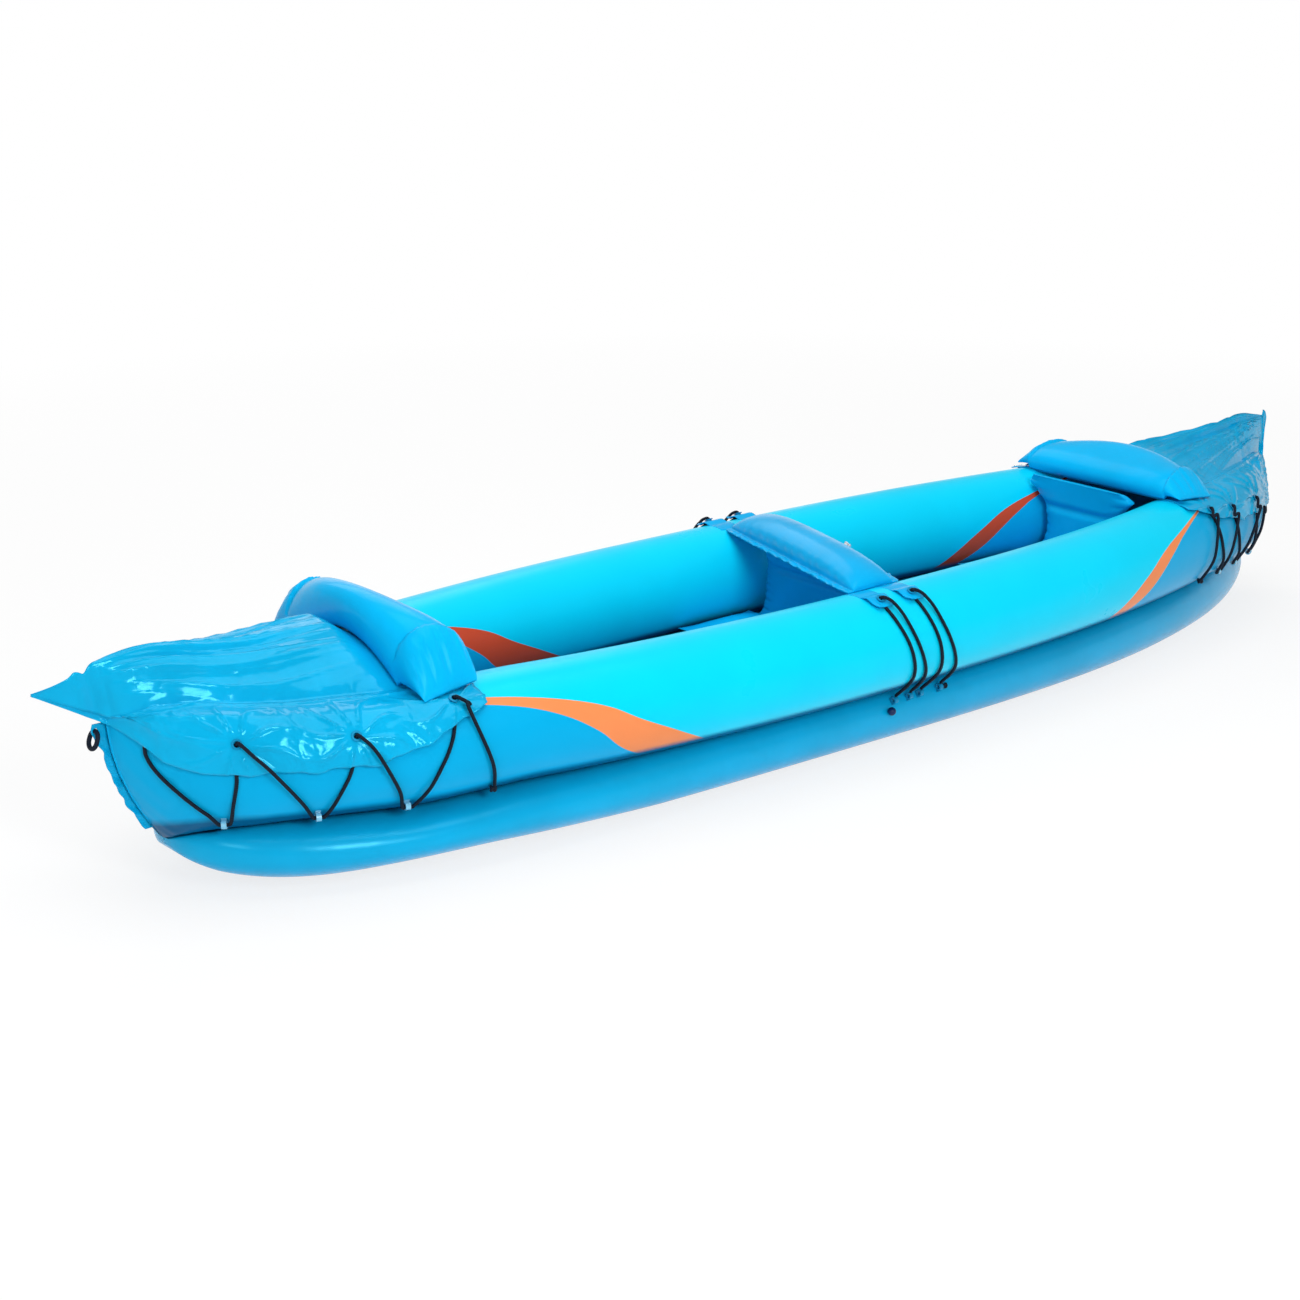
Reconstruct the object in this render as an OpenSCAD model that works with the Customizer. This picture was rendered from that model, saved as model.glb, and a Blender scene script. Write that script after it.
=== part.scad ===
// Inflatable tandem kayak: two side tubes on a ribbed bottom chamber, a laced spray deck with an
// inflated roll at each end, a tied thwart pad and two inflated seats.
// +X is the bow, +Y is port, +Z is up, and the floor under the hull is at z = 0.

/* [Side tubes] */
// Midships to the bow end of the side tubes
bow_reach = 1500; // [1470:5:1540]
// Midships to the stern end of the side tubes
stern_reach = 1605; // [1560:5:1615]
// Half the distance between the tube centres amidships
tube_spread = 285; // [275:1:300]
// Radius of an inflated side tube
tube_radius = 102; // [96:1:106]
// Half height of the flat weld at the bow
bow_stem_half = 120; // [112:1:126]
// Half height of the flat weld at the stern
stern_stem_half = 112; // [108:1:120]
// Lean of the bow stem, run over rise
bow_rake = 0.38; // [0.2:0.02:0.44]
// Lean of the stern stem, run over rise
stern_rake = 0.1; // [0:0.02:0.2]
// Drop of the tube underside at the bow stem
bow_droop = 28; // [20:1:30]
// Drop of the tube underside at the stern stem
stern_droop = 24; // [15:1:32]

/* [Bottom chamber] */
// Distance of the bottom chamber's bow end from the tube ends
floor_bow_inset = 95; // [85:5:110]
// Distance of the bottom chamber's stern end from the tube ends
floor_stern_inset = 55; // [40:5:75]
// Half width of the bottom chamber amidships
floor_half_beam = 318; // [308:1:328]
// Height of the bottom chamber amidships
floor_height = 130; // [120:1:136]
// Depth of the grooves between the floor ribs
rib_groove = 14; // [8:1:18]
// Rise of the hull's underside at the bow
bow_lift = 38; // [20:1:45]
// Rise of the hull's underside at the stern
stern_lift = 18; // [8:1:30]
// Rise of the outer ribs above the middle one in the bow half
bow_vee = 27; // [10:1:32]
// Rise of the outer ribs above the middle one in the stern half
stern_vee = 10; // [6:1:20]
// Drop of the outer ribs' tops near the bow
bow_sag = 14; // [6:1:18]
// Half length of the level run amidships
level_run = 450; // [350:10:520]
// Thickness of the welded seam strips and stem flanges
weld_thickness = 2; // [1.5:0.1:2.5]
// Width of the welded seam strips
weld_width = 18; // [12:1:22]

/* [Decks] */
// Overhang of the bow deck tip beyond the tube ends
bow_tip_overhang = 125; // [100:5:150]
// Overhang of the stern deck tip beyond the tube ends
stern_tip_overhang = 20; // [17:1:45]
// Height of the bow deck tip
bow_tip_height = 404; // [385:1:420]
// Height of the stern deck tip
stern_tip_height = 413; // [395:1:430]
// Midships to the inner edge of the bow deck
bow_deck_start = 925; // [905:5:945]
// Midships to the inner edge of the stern deck
stern_deck_start = 1005; // [990:5:1025]
// Thickness of the deck film in the model
deck_thickness = 2.5; // [2:0.1:3]
// Stand-off of the hanging skirt from the tube
skirt_stand = 9.6; // [9:0.1:10.2]
// Depth of the waves along the skirt hem
hem_wave = 6; // [0:0.5:8]
// Depth of the long tension folds of the deck
fold_depth = 5; // [0:0.5:7]
// Rise of the deck middle over the stem
deck_crown = 86; // [60:1:95]

/* [Rolls] */
// Half width of an inflated deck roll along the hull
roll_half_run = 68; // [62:1:76]
// Height of the bow roll above the deck
bow_roll_height = 92; // [78:1:102]
// Height of the stern roll above the deck
stern_roll_height = 42; // [34:1:60]
// Clear deck between the end of a roll and the nearest eyelet
roll_eyelet_margin = 11; // [9:1:24]
// Overhang of a roll beyond the inner edge of its deck
roll_overhang = 18; // [8:1:24]

/* [Seats] */
// Middle of the thwart pad along the hull
thwart_place = -100; // [-110:1:-90]
// Half length of the thwart pad along the hull
thwart_half_run = 60; // [52:1:66]
// Slant of the thwart pad, as travel along the hull for each step across it
thwart_skew = 0.27; // [0:0.01:0.3]
// Width of the flat weld along the thwart pad's long edges
thwart_border = 16; // [10:1:20]
// Half length of the thwart pad across the hull
thwart_half_span = 256; // [245:1:268]
// Height of the thwart pad's crown
thwart_crown = 48; // [38:1:58]
// Width of an end flap
flap_width = 50; // [44:1:56]
// Length of a seat cushion
cushion_length = 200; // [180:5:230]
// Thickness of a seat cushion
cushion_height = 66; // [55:1:75]
// Thickness of a backrest
backrest_thickness = 62; // [50:1:70]
// Half width of the front backrest
front_backrest_half = 170; // [150:1:174]
// Half width of the rear backrest
rear_backrest_half = 150; // [130:1:154]

/* [Cords] */
// Diameter of the lacing and tie cords
cord_diameter = 5.5; // [4.5:0.1:5.8]
// Bore of the lacing loops
loop_bore = 8.8; // [8.4:0.1:9.4]
// Diameter of a cord knot
knot_diameter = 15; // [13:0.5:17]
// Diameter of a tie cord's ball stop
ball_diameter = 17; // [15:0.5:20]

/* [Valves] */
// Outer radius of a large valve
valve_radius = 28; // [26:0.5:30]
// Bore radius of a large valve
valve_bore = 12; // [10:0.5:13]
// Depth of a large valve's well
valve_depth = 14; // [13:0.5:16]
// Outer radius of a small stem valve's flange
stem_flange = 12; // [11:0.5:14]
// Bore radius of a small stem valve
stem_bore = 3; // [2.5:0.1:3.5]
// Height of a small stem valve's neck
stem_neck = 11; // [10:0.5:14]

/* [Hidden] */

// Ends of the bottom chamber and tips of the decks from midships
floor_bow_reach = bow_reach - floor_bow_inset;
floor_stern_reach = stern_reach - floor_stern_inset;
bow_tip_reach = bow_reach + bow_tip_overhang;
stern_tip_reach = stern_reach + stern_tip_overhang;
// Middles of the rolls from midships
bow_roll_place = bow_deck_start + roll_half_run - roll_overhang;
stern_roll_place = stern_deck_start + roll_half_run - roll_overhang;
// Clearance between pieces that lie on each other
seat_gap = 0.3;
cord_radius = cord_diameter / 2;
// Distance from the tube skin to the middle of a cord that lies on it
cord_rest = cord_radius + 1.1;
// Distance between tube and bottom chamber, filled by the seam strip
seam_gap = weld_thickness + 2 * seat_gap;
// Exponents of the plan curves, as in (1 - u^first)^(1 / second)
tube_bow_curve = [2.2, 1.3];
tube_stern_curve = [2.5, 1.1];
floor_bow_curve = [4, 2];
floor_stern_curve = [3, 1.3];
// Share of the plan curve at which a tube reaches its full width
full_width_share = 0.55;
// Half thickness of a tube at its stem weld
tube_end = 3;
// Share of the length at which a tube starts to close and the bottom chamber to round off
tube_closing = 0.8;
floor_closing = 0.8;
hull_steps = 26;
tube_sides = 24;

tube_blue = "deepskyblue";
hull_blue = "dodgerblue";
deck_blue = "steelblue";
cord_black = "black";
clear_white = "lightblue";
valve_grey = "gainsboro";

// General helpers
function clamp(v, low, high) = min(max(v, low), high);
function ease(v) = let (t = clamp(v, 0, 1)) t * t * (3 - 2 * t);
function mix(a, b, t) = a + (b - a) * t;
function unit(v) = v / norm(v);
function reversed(list) = [for (i = [len(list) - 1 : -1 : 0]) list[i]];
function share(x, bow, stern) = min(1, x < 0 ? -x / stern : x / bow);
function plan_curve(x, bow, stern, bow_curve, stern_curve) =
    let (curve = x < 0 ? stern_curve : bow_curve)
    pow(max(0, 1 - pow(share(x, bow, stern), curve[0])), 1 / curve[1]);

// Hull lines, as smooth functions of the place x along the hull
function hull_lift(x) =
    let (run = max(0, abs(x) - level_run), full = (x < 0 ? stern_reach : bow_reach) - level_run)
    (x < 0 ? stern_lift : bow_lift) * pow(run / full, 3);
function floor_rounding(x) =
    clamp((share(x, floor_bow_reach, floor_stern_reach) - floor_closing) / (1 - floor_closing), 0, 0.995);
function floor_half(x) = floor_height / 2 * sqrt(1 - pow(floor_rounding(x), 2));
function floor_mid(x) = floor_height / 2 + hull_lift(x);
function floor_plan(x) =
    plan_curve(x, floor_bow_reach, floor_stern_reach, floor_bow_curve, floor_stern_curve);
function floor_width(x) = max(floor_half_beam * floor_plan(x), floor_half(x) * 0.7);
// The outer ribs are less deep than the middle one and hang higher
function floor_vee(x) =
    mix(stern_vee, bow_vee, clamp(x / 1800 + 0.5, 0, 1)) * (1 - pow(floor_rounding(x), 2))
        * ease((1.02 - share(x, floor_bow_reach, floor_stern_reach)) / 0.4);
// The floor sags over this run, which starts this far behind the bow
sag_start = 700;
sag_run = 280;
function floor_sag(x) =
    bow_sag * ease((x - bow_reach + sag_start) / sag_run) * (1 - pow(floor_rounding(x), 2));
function edge_half_at(x) = floor_half(x) - floor_vee(x) / 2 - floor_sag(x) / 2;
function edge_mid_at(x) = floor_mid(x) + floor_vee(x) / 2 - floor_sag(x) / 2;
function floor_flat_at(x) =
    min(floor_width(x) - min(edge_half_at(x), floor_width(x) * 0.9), tube_y_at(x));
function tube_plan(x) = plan_curve(x, bow_reach, stern_reach, tube_bow_curve, tube_stern_curve);
function tube_a_at(x) = max(tube_end, tube_radius * sin(90 * min(1, tube_plan(x) / full_width_share)));
function tube_y_at(x) = max(tube_spread * tube_plan(x), tube_a_at(x) + weld_thickness / 2 + seat_gap);
function tube_close(x) = ease((share(x, bow_reach, stern_reach) - tube_closing) / (1 - tube_closing));
function tube_b_at(x) = mix(tube_radius, x < 0 ? stern_stem_half : bow_stem_half, tube_close(x));
// The last place where a tube lies on the bottom chamber
function tube_rest(x) = clamp(x, 90 - floor_stern_reach, floor_bow_reach - 90);
function tube_low(x) =
    let (
        h = tube_rest(x),
        sum = tube_a_at(h) + edge_half_at(h) + seam_gap,
        dy = tube_y_at(h) - floor_flat_at(h)
    )
    edge_mid_at(h) + sqrt(max(pow(sum, 2) - pow(dy, 2), pow(0.6 * sum, 2))) - tube_a_at(h);
function tube_bottom_at(x) =
    let (h = tube_rest(x), full = abs((x < 0 ? -stern_reach : bow_reach) - h))
    tube_low(x) - (x < 0 ? stern_droop : bow_droop) * pow(abs(x - h) / full, 2);
function stem_lean_at(x) = (x < 0 ? -stern_rake : bow_rake) * pow(share(x, bow_reach, stern_reach), 16);

// Stations along the hull, closer together towards the stems
hull_places = [
    for (i = [0 : hull_steps])
        let (u = sin(90 * (2 * i / hull_steps - 1)))
        u < 0 ? u * stern_reach : u * bow_reach
];
floor_end_steps = [45, 20, 7, 0];
floor_places = concat(
    [for (i = [3 : -1 : 0]) floor_end_steps[i] - floor_stern_reach],
    [for (x = hull_places) if (x > 60 - floor_stern_reach && x < floor_bow_reach - 60) x],
    [for (step = floor_end_steps) floor_bow_reach - step]
);

// The same lines drawn straight from station to station, so that pieces lie flat on the chambers
tube_a_rows = [for (x = hull_places) [x, tube_a_at(x)]];
tube_b_rows = [for (x = hull_places) [x, tube_b_at(x)]];
tube_y_rows = [for (x = hull_places) [x, tube_y_at(x)]];
tube_bottom_rows = [for (x = hull_places) [x, tube_bottom_at(x)]];
lean_rows = [for (x = hull_places) [x, stem_lean_at(x)]];
edge_half_rows = [for (x = floor_places) [x, edge_half_at(x)]];
edge_mid_rows = [for (x = floor_places) [x, edge_mid_at(x)]];
edge_run_rows = [for (x = floor_places) [x, floor_width(x) - floor_flat_at(x)]];
floor_flat_rows = [for (x = floor_places) [x, floor_flat_at(x)]];
function tube_a(x) = lookup(x, tube_a_rows);
function tube_b(x) = lookup(x, tube_b_rows);
function tube_y(x) = lookup(x, tube_y_rows);
function tube_bottom(x) = lookup(x, tube_bottom_rows);
function tube_z(x) = tube_bottom(x) + tube_b(x);
function tube_top(x) = tube_z(x) + tube_b(x);
function stem_lean(x) = lookup(x, lean_rows);
function edge_half(x) = lookup(x, edge_half_rows);
function edge_mid(x) = lookup(x, edge_mid_rows);
function floor_edge(x) = lookup(x, edge_run_rows);
function floor_flat(x) = lookup(x, floor_flat_rows);
function leaned(x, y, z) =
    let (drop = tube_top(x) - z)
    [x - stem_lean(x) * drop * abs(drop) / (2 * tube_b(x)), y, z];
// Point on the port tube at an angle from its outer side, off the skin by a distance
function tube_pt(x, angle, off = 0) =
    leaned(x, tube_y(x) + (tube_a(x) + off) * cos(angle), tube_z(x) + (tube_b(x) + off) * sin(angle));
// Half the clear width between the tubes at a height
function tube_inside(x, z) =
    let (rise = clamp((z - tube_z(x)) / tube_b(x), -1, 1))
    tube_y(x) - tube_a(x) * sqrt(1 - rise * rise);
// Point on the bottom chamber's port shoulder at an angle above its side
function shoulder_pt(x, angle, off = 0) =
    [
        x,
        floor_flat(x) + (floor_edge(x) + off) * cos(angle),
        edge_mid(x) + (edge_half(x) + off) * sin(angle)
    ];

// Closed solid through a row of closed sections that have equal numbers of points
module loft(sections) {
    rows = len(sections);
    cols = len(sections[0]);
    sides = [
        for (i = [0 : rows - 2], j = [0 : cols - 1])
            let (a = i * cols + j, b = i * cols + (j + 1) % cols)
            each [[a, b + cols, b], [a, a + cols, b + cols]]
    ];
    first = [for (j = [0 : cols - 1]) j];
    last = [for (j = [cols - 1 : -1 : 0]) (rows - 1) * cols + j];
    polyhedron([for (s = sections) each s], concat(sides, [first, last]));
}

// Closed solid between a grid of points and a second grid above it
module slab(low, high, joined_rim = false) {
    rows = len(low);
    cols = len(low[0]);
    upper = rows * cols;
    function on_rim(i, j) = i == 0 || j == 0 || i == rows - 1 || j == cols - 1;
    function at(i, j, top) = i * cols + j + (top && !(joined_rim && on_rim(i, j)) ? upper : 0);
    function up(i, j) = at(i, j, true);
    function down(i, j) = at(i, j, false);
    function quad(a, b, c, d, other = false) =
        other ? [[a, d, b], [b, d, c]] : [[a, c, b], [a, d, c]];
    function turned(i, j) = (i < (rows - 1) / 2) != (j < (cols - 1) / 2);
    skins = [
        for (i = [0 : rows - 2], j = [0 : cols - 2])
            each concat(
                quad(up(i, j), up(i, j + 1), up(i + 1, j + 1), up(i + 1, j), turned(i, j)),
                quad(down(i, j), down(i + 1, j), down(i + 1, j + 1), down(i, j + 1), turned(i, j))
            )
    ];
    rim = joined_rim ? [] : concat(
        [for (i = [0 : rows - 2]) each concat(
            quad(down(i, 0), up(i, 0), up(i + 1, 0), down(i + 1, 0)),
            quad(up(i, cols - 1), down(i, cols - 1), down(i + 1, cols - 1), up(i + 1, cols - 1))
        )],
        [for (j = [0 : cols - 2]) each concat(
            quad(up(0, j), down(0, j), down(0, j + 1), up(0, j + 1)),
            quad(down(rows - 1, j), up(rows - 1, j), up(rows - 1, j + 1), down(rows - 1, j + 1))
        )]
    );
    polyhedron(concat([for (r = low) each r], [for (r = high) each r]), concat(skins, rim));
}

// Smooth curve through hand-chosen points
function spline_pt(p0, p1, p2, p3, t) =
    0.5 * (2 * p1 + (p2 - p0) * t + (2 * p0 - 5 * p1 + 4 * p2 - p3) * t * t
        + (3 * p1 - p0 - 3 * p2 + p3) * t * t * t);
function spline(keys, steps) =
    let (n = len(keys))
    concat(
        [for (i = [0 : n - 2], k = [0 : steps - 1])
            spline_pt(keys[max(i - 1, 0)], keys[i], keys[i + 1], keys[min(i + 2, n - 1)], k / steps)],
        [keys[n - 1]]
    );
function tangents(path) =
    [for (i = [0 : len(path) - 1]) unit(path[min(i + 1, len(path) - 1)] - path[max(i - 1, 0)])];
function carried(dirs, i, side) =
    i == len(dirs) ? [] :
    let (s = unit(side - (side * dirs[i]) * dirs[i])) concat([s], carried(dirs, i + 1, s));

// Round cord along a path
module cord(path, radius = cord_radius, sides = 6) {
    dirs = tangents(path);
    across = carried(dirs, 0, cross(dirs[0], abs(dirs[0][2]) < 0.8 ? [0, 0, 1] : [1, 0, 0]));
    loft([
        for (i = [0 : len(path) - 1])
            let (s = across[i], t = cross(dirs[i], s))
            [for (k = [0 : sides - 1])
                path[i] + radius * (cos(360 * k / sides) * s + sin(360 * k / sides) * t)]
    ]);
}

// Places children with their Z along a direction and their X near a second one
module face_along(place, z_dir, x_dir = [1, 0, 0]) {
    z = unit(z_dir);
    x = unit(x_dir - (x_dir * z) * z);
    y = cross(z, x);
    multmatrix([
        [x[0], y[0], z[0], place[0]],
        [x[1], y[1], z[1], place[1]],
        [x[2], y[2], z[2], place[2]],
        [0, 0, 0, 1]
    ]) children();
}

module both_sides() {
    children();
    mirror([0, 1, 0]) children();
}

// Bottom chamber: round outer edges, grooved between its inner ribs above and below
groove_shares = [0.8, 0.4, 0, -0.4, -0.8];
// Rise of a rib below the floor as a share of the outer rib's, level at the two middle ribs
function rib_rise(s) = max(0, abs(s) - 0.2) / 0.8;
function floor_section(x) =
    let (
        h = floor_half(x),
        e = floor_edge(x),
        f = floor_flat(x),
        m = floor_mid(x),
        k = edge_half(x),
        v = floor_vee(x),
        g = rib_groove * min(1, f / 250) * h * 2 / floor_height,
        upper_edge = [for (t = [0 : 18 : 90]) [f + e * cos(t), edge_mid(x) - m + k * sin(t)]],
        lower_edge = [for (t = [-90 : 22.5 : -22.5]) [f + e * cos(t), edge_mid(x) - m + k * sin(t)]],
        upper = [for (i = [0 : 4]) each concat(
            [[groove_shares[i] * f, h - g - floor_sag(x)]],
            i == 4 ? [] : [for (s = [0.08, 0.2, 0.32])
                [(groove_shares[i] - s) * f, h - floor_sag(x) - g * (1 - sin(180 * s / 0.4))]]
        )],
        lower = [for (i = [4 : -1 : 0]) each concat(
            [[groove_shares[i] * f, g - h + v * rib_rise(groove_shares[i])]],
            i == 0 ? [] : [for (s = [0.1, 0.3])
                [(groove_shares[i] + s) * f, v * rib_rise(groove_shares[i] + 0.2) - h]]
        )],
        outline = concat(
            upper_edge,
            upper,
            [for (i = [5 : -1 : 0]) [-upper_edge[i][0], upper_edge[i][1]]],
            [for (i = [3 : -1 : 0]) [-lower_edge[i][0], lower_edge[i][1]]],
            [[-0.9 * f, v * rib_rise(0.9) - h]],
            lower,
            [[0.9 * f, v * rib_rise(0.9) - h]],
            lower_edge
        )
    )
    [for (p = outline) [x, p[0], m + p[1]]];

floor_valve_place = [bow_reach * 0.46, 0.6];
function rib_crown(x, side) = [x, side * floor_flat(x), edge_mid(x) + edge_half(x)];

module bottom_chamber() {
    color(hull_blue) difference() {
        loft([for (x = floor_places) floor_section(x)]);
        face_along(rib_crown(floor_valve_place[0], floor_valve_place[1]), [0, 0, 1]) valve_well();
    }
}

// Side tubes: round amidships, closing to a flat upright weld at each stem
module side_tube() {
    loft([
        for (x = hull_places)
            [for (k = [0 : tube_sides - 1]) tube_pt(x, 360 * k / tube_sides)]
    ]);
}

tube_valve_x = bow_reach * 0.64;
tube_valve_angle = 172;
function tube_out(x, angle) =
    let (
        along = tube_pt(x + 4, angle) - tube_pt(x - 4, angle),
        around = tube_pt(x, angle + 2) - tube_pt(x, angle - 2)
    )
    unit(cross(around, along));

module at_tube_valve() {
    face_along(tube_pt(tube_valve_x, tube_valve_angle), tube_out(tube_valve_x, tube_valve_angle)) children();
}

module port_side_tube() {
    color(tube_blue) difference() {
        side_tube();
        at_tube_valve() valve_well();
    }
}

module starboard_side_tube() {
    color(tube_blue) mirror([0, 1, 0]) difference() {
        side_tube();
        at_tube_valve() valve_well();
    }
}

// Seam strips: flat welds that join each tube to the bottom chamber
function seam_normal(x) =
    unit([0, tube_y(x) - floor_flat(x), tube_bottom(x) + tube_a(x) - edge_mid(x)]);
function seam_section(x) =
    let (
        n = seam_normal(x),
        t = [0, n[2], -n[1]],
        mid = [x, floor_flat(x), edge_mid(x)] + n * (edge_half(x) + seam_gap / 2)
    )
    [
        for (c = [[-1, -1], [1, -1], [1, 1], [-1, 1]])
            mid + t * c[0] * weld_width / 2 + n * c[1] * weld_thickness / 2
    ];
module seam_strip() {
    places = [for (x = hull_places) if (x > 150 - floor_stern_reach && x < floor_bow_reach - 150) x];
    loft([for (x = places) seam_section(x)]);
}
module port_seam_strip() {
    color(hull_blue) seam_strip();
}
module starboard_seam_strip() {
    color(hull_blue) mirror([0, 1, 0]) seam_strip();
}

// Stem flanges: flat upright welds between the tube ends, pierced for the grab loop
flange_inset = 34;
flange_proud = 26;
grab_wire = 4;
grab_bore = 4.4;
bow_grab_drop = 24;
stern_grab_drop = 70;
function grab_place(reach, drop) =
    let (z = tube_top(reach) - drop)
    leaned(reach, 0, z) + [sign(reach) * (flange_proud - 8), 0, 0];

module stem_flange(reach, drop) {
    way = sign(reach);
    top = tube_top(reach) - 12;
    low = tube_bottom(reach) + 22;
    hole = grab_place(reach, drop);
    levels = [for (i = [0 : 8]) mix(top, low, i / 8)];
    function edge_x(z) = leaned(reach, 0, z)[0];
    rotate([90, 0, 0])
        translate([0, 0, -weld_thickness / 2])
            linear_extrude(weld_thickness)
                difference() {
                    polygon(concat(
                        [for (z = levels) [edge_x(z) + way * flange_proud, z]],
                        [for (z = reversed(levels)) [edge_x(z) - way * flange_inset, z]]
                    ));
                    translate([hole[0], hole[2]]) circle(grab_bore, $fn = 32);
                }
}
module bow_stem_flange() {
    color(hull_blue) stem_flange(bow_reach, bow_grab_drop);
}
module stern_stem_flange() {
    color(hull_blue) stem_flange(-stern_reach, stern_grab_drop);
}

// Grab loops: long closed loops of cord that hang from the stem flanges
grab_radius = 13;
module grab_loop(reach, drop, length, tilt) {
    hole = grab_place(reach, drop);
    way = sign(reach);
    translate([hole[0], 0, hole[2]])
        rotate([0, -way * tilt, 0])
            translate([0, 0, -grab_radius])
                rotate([0, 90, 0]) {
                    rotate([0, 0, 90]) rotate_extrude(angle = 180, $fn = 48)
                        translate([grab_radius, 0]) circle(grab_wire, $fn = 24);
                    translate([length, 0, 0]) rotate([0, 0, -90]) rotate_extrude(angle = 180, $fn = 48)
                        translate([grab_radius, 0]) circle(grab_wire, $fn = 24);
                    for (y = [-grab_radius, grab_radius])
                        translate([0, y, 0]) rotate([0, 90, 0]) cylinder(h = length, r = grab_wire, $fn = 24);
                }
}
bow_grab_length = 4;
stern_grab_length = 62;
bow_grab_tilt = 20;
stern_grab_tilt = 12;
module bow_grab_loop() {
    color(cord_black) grab_loop(bow_reach, bow_grab_drop, bow_grab_length, bow_grab_tilt);
}
module stern_grab_loop() {
    color(cord_black) grab_loop(-stern_reach, stern_grab_drop, stern_grab_length, stern_grab_tilt);
}

// Decks: thin film over the tube shoulders with a hanging skirt and a pointed, folded tip
shoulder_angle = 94;
deck_seat = 1.4;
skirt_steps = 6;
span_steps = 10;
// Hem as [share of the deck's length, angle on the tube]
bow_hem = [[0, 46], [0.03, 42], [0.13, 30], [0.25, 16], [0.37, 7], [0.83, 4], [0.91, 16], [1, 55]];
stern_hem = [[0, 59], [0.09, 44], [0.19, 32], [0.32, 20], [0.82, 10], [1, 20]];
// Distance from the deck's inner edge to its first station
deck_first_step = 40;

function deck_along(x) =
    x < 0 ? (-x - stern_deck_start) / (stern_reach - stern_deck_start)
          : (x - bow_deck_start) / (bow_reach - bow_deck_start);
function hem_angle(x) = lookup(deck_along(x), x < 0 ? stern_hem : bow_hem);
// Place of a share of a deck's length
function deck_place(way, part) =
    way < 0 ? -mix(stern_deck_start, stern_reach, part) : mix(bow_deck_start, bow_reach, part);
function skirt_off(angle) = deck_seat + (skirt_stand - deck_seat) * ease((80 - angle) / 26);
function hem_flare(angle) = hem_wave * ease((30 - angle) / 26);
function skirt_pt(x, angle, out = 0) = tube_pt(x, angle, skirt_off(angle) + out);
// The bow deck climbs steeply up the front of its roll, the stern deck slowly
function deck_rise_at(x) =
    let (a = clamp(deck_along(x), 0, 1))
    deck_crown * (x < 0 ? 0.42 * ease((a - 0.03) / 0.24) + 0.58 * a
                        : ease((a + 0.06) / 0.34) - 0.09 * sin(180 * a));
function deck_places(start, reach) =
    let (own = [for (x = hull_places) if (x * sign(reach) > abs(start) + deck_first_step) x])
    concat([start], reach > 0 ? own : reversed(own));
bow_rise_rows = [for (x = deck_places(bow_deck_start, bow_reach)) [x, deck_rise_at(x)]];
stern_rise_rows = [for (x = deck_places(-stern_deck_start, -stern_reach)) [-x, deck_rise_at(x)]];
function deck_rise(x) = lookup(abs(x), x < 0 ? stern_rise_rows : bow_rise_rows);
function deck_fold(x, v) =
    let (a = deck_along(x))
    fold_depth * sin(900 * v) * (1 - v * v) * ease(a * 4 - 1.2) * ease((1.02 - a) * 4);
function deck_span_pt(x, v, out = 0) =
    let (edge = skirt_pt(x, shoulder_angle))
    leaned(
        x,
        v * (edge[1] + out * cos(shoulder_angle)),
        edge[2] + deck_rise(x) * (1 - v * v) + deck_fold(x, v) + out * mix(1, sin(shoulder_angle), v * v)
    );
function flip(p) = [p[0], -p[1], p[2]];
function deck_section(x, out, flare = 0) =
    let (
        hem = hem_angle(x),
        side = [for (k = [0 : skirt_steps])
            let (angle = mix(hem, shoulder_angle, k / skirt_steps))
            skirt_pt(x, angle, out + flare * hem_flare(angle))],
        span = [for (k = [1 : span_steps - 1]) deck_span_pt(x, 1 - 2 * k / span_steps, out)]
    )
    concat(side, span, [for (k = [skirt_steps : -1 : 0]) flip(side[k])]);
beak_steps = [0.3, 0.6, 0.85, 1];
// The hem flares out half way between stations
function deck_rows(places, out) = [
    for (i = [0 : len(places) - 1])
        let (x = places[i], last = places[max(i - 1, 0)])
        each abs(x - last) < 20 ? [deck_section(x, out)]
            : [(deck_section(x, out, 1) + deck_section(last, out, 1)) / 2, deck_section(x, out)]
];
function deck_grid(start, reach, tip, out) =
    let (root = deck_section(reach, out))
    concat(
        deck_rows(deck_places(start, reach), out),
        [for (t = beak_steps)
            [for (p = root)
                [mix(p[0], tip[0], t), p[1] * (1 - 0.95 * t), mix(p[2], tip[2] + 0.04 * (p[2] - tip[2]), t)]]]
    );

module deck(start, reach, tip) {
    inner = deck_grid(start, reach, tip, 0);
    outer = deck_grid(start, reach, tip, deck_thickness);
    if (reach > 0)
        slab(inner, outer);
    else
        slab(reversed(inner), reversed(outer));
}

// Eyelet places as [share of the deck's length, angle on the tube]
bow_eyelet_shares = [[0.735, 30], [0.418, 33], [0.09, 56]];
stern_eyelet_shares = [[0.12, 47], [0.28, 38], [0.51, 32]];
bow_eyelets = [for (e = bow_eyelet_shares) [deck_place(1, e[0]), e[1]]];
stern_eyelets = [for (e = stern_eyelet_shares) [-deck_place(-1, e[0]), e[1]]];
eyelet_bore = 5.5;
eyelet_barrel = 6.3;
eyelet_rim = 9.4;
eyelet_flange = 1;
eyelet_seat = 0.6;
function skirt_out(x, angle) =
    let (
        along = skirt_pt(x + 4, angle, deck_thickness) - skirt_pt(x - 4, angle, deck_thickness),
        around = skirt_pt(x, angle + 2, deck_thickness) - skirt_pt(x, angle - 2, deck_thickness)
    )
    unit(cross(around, along));
module at_eyelets(list, way) {
    for (e = list)
        both_sides()
            face_along(skirt_pt(way * e[0], e[1], deck_thickness), skirt_out(way * e[0], e[1])) children();
}
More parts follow.
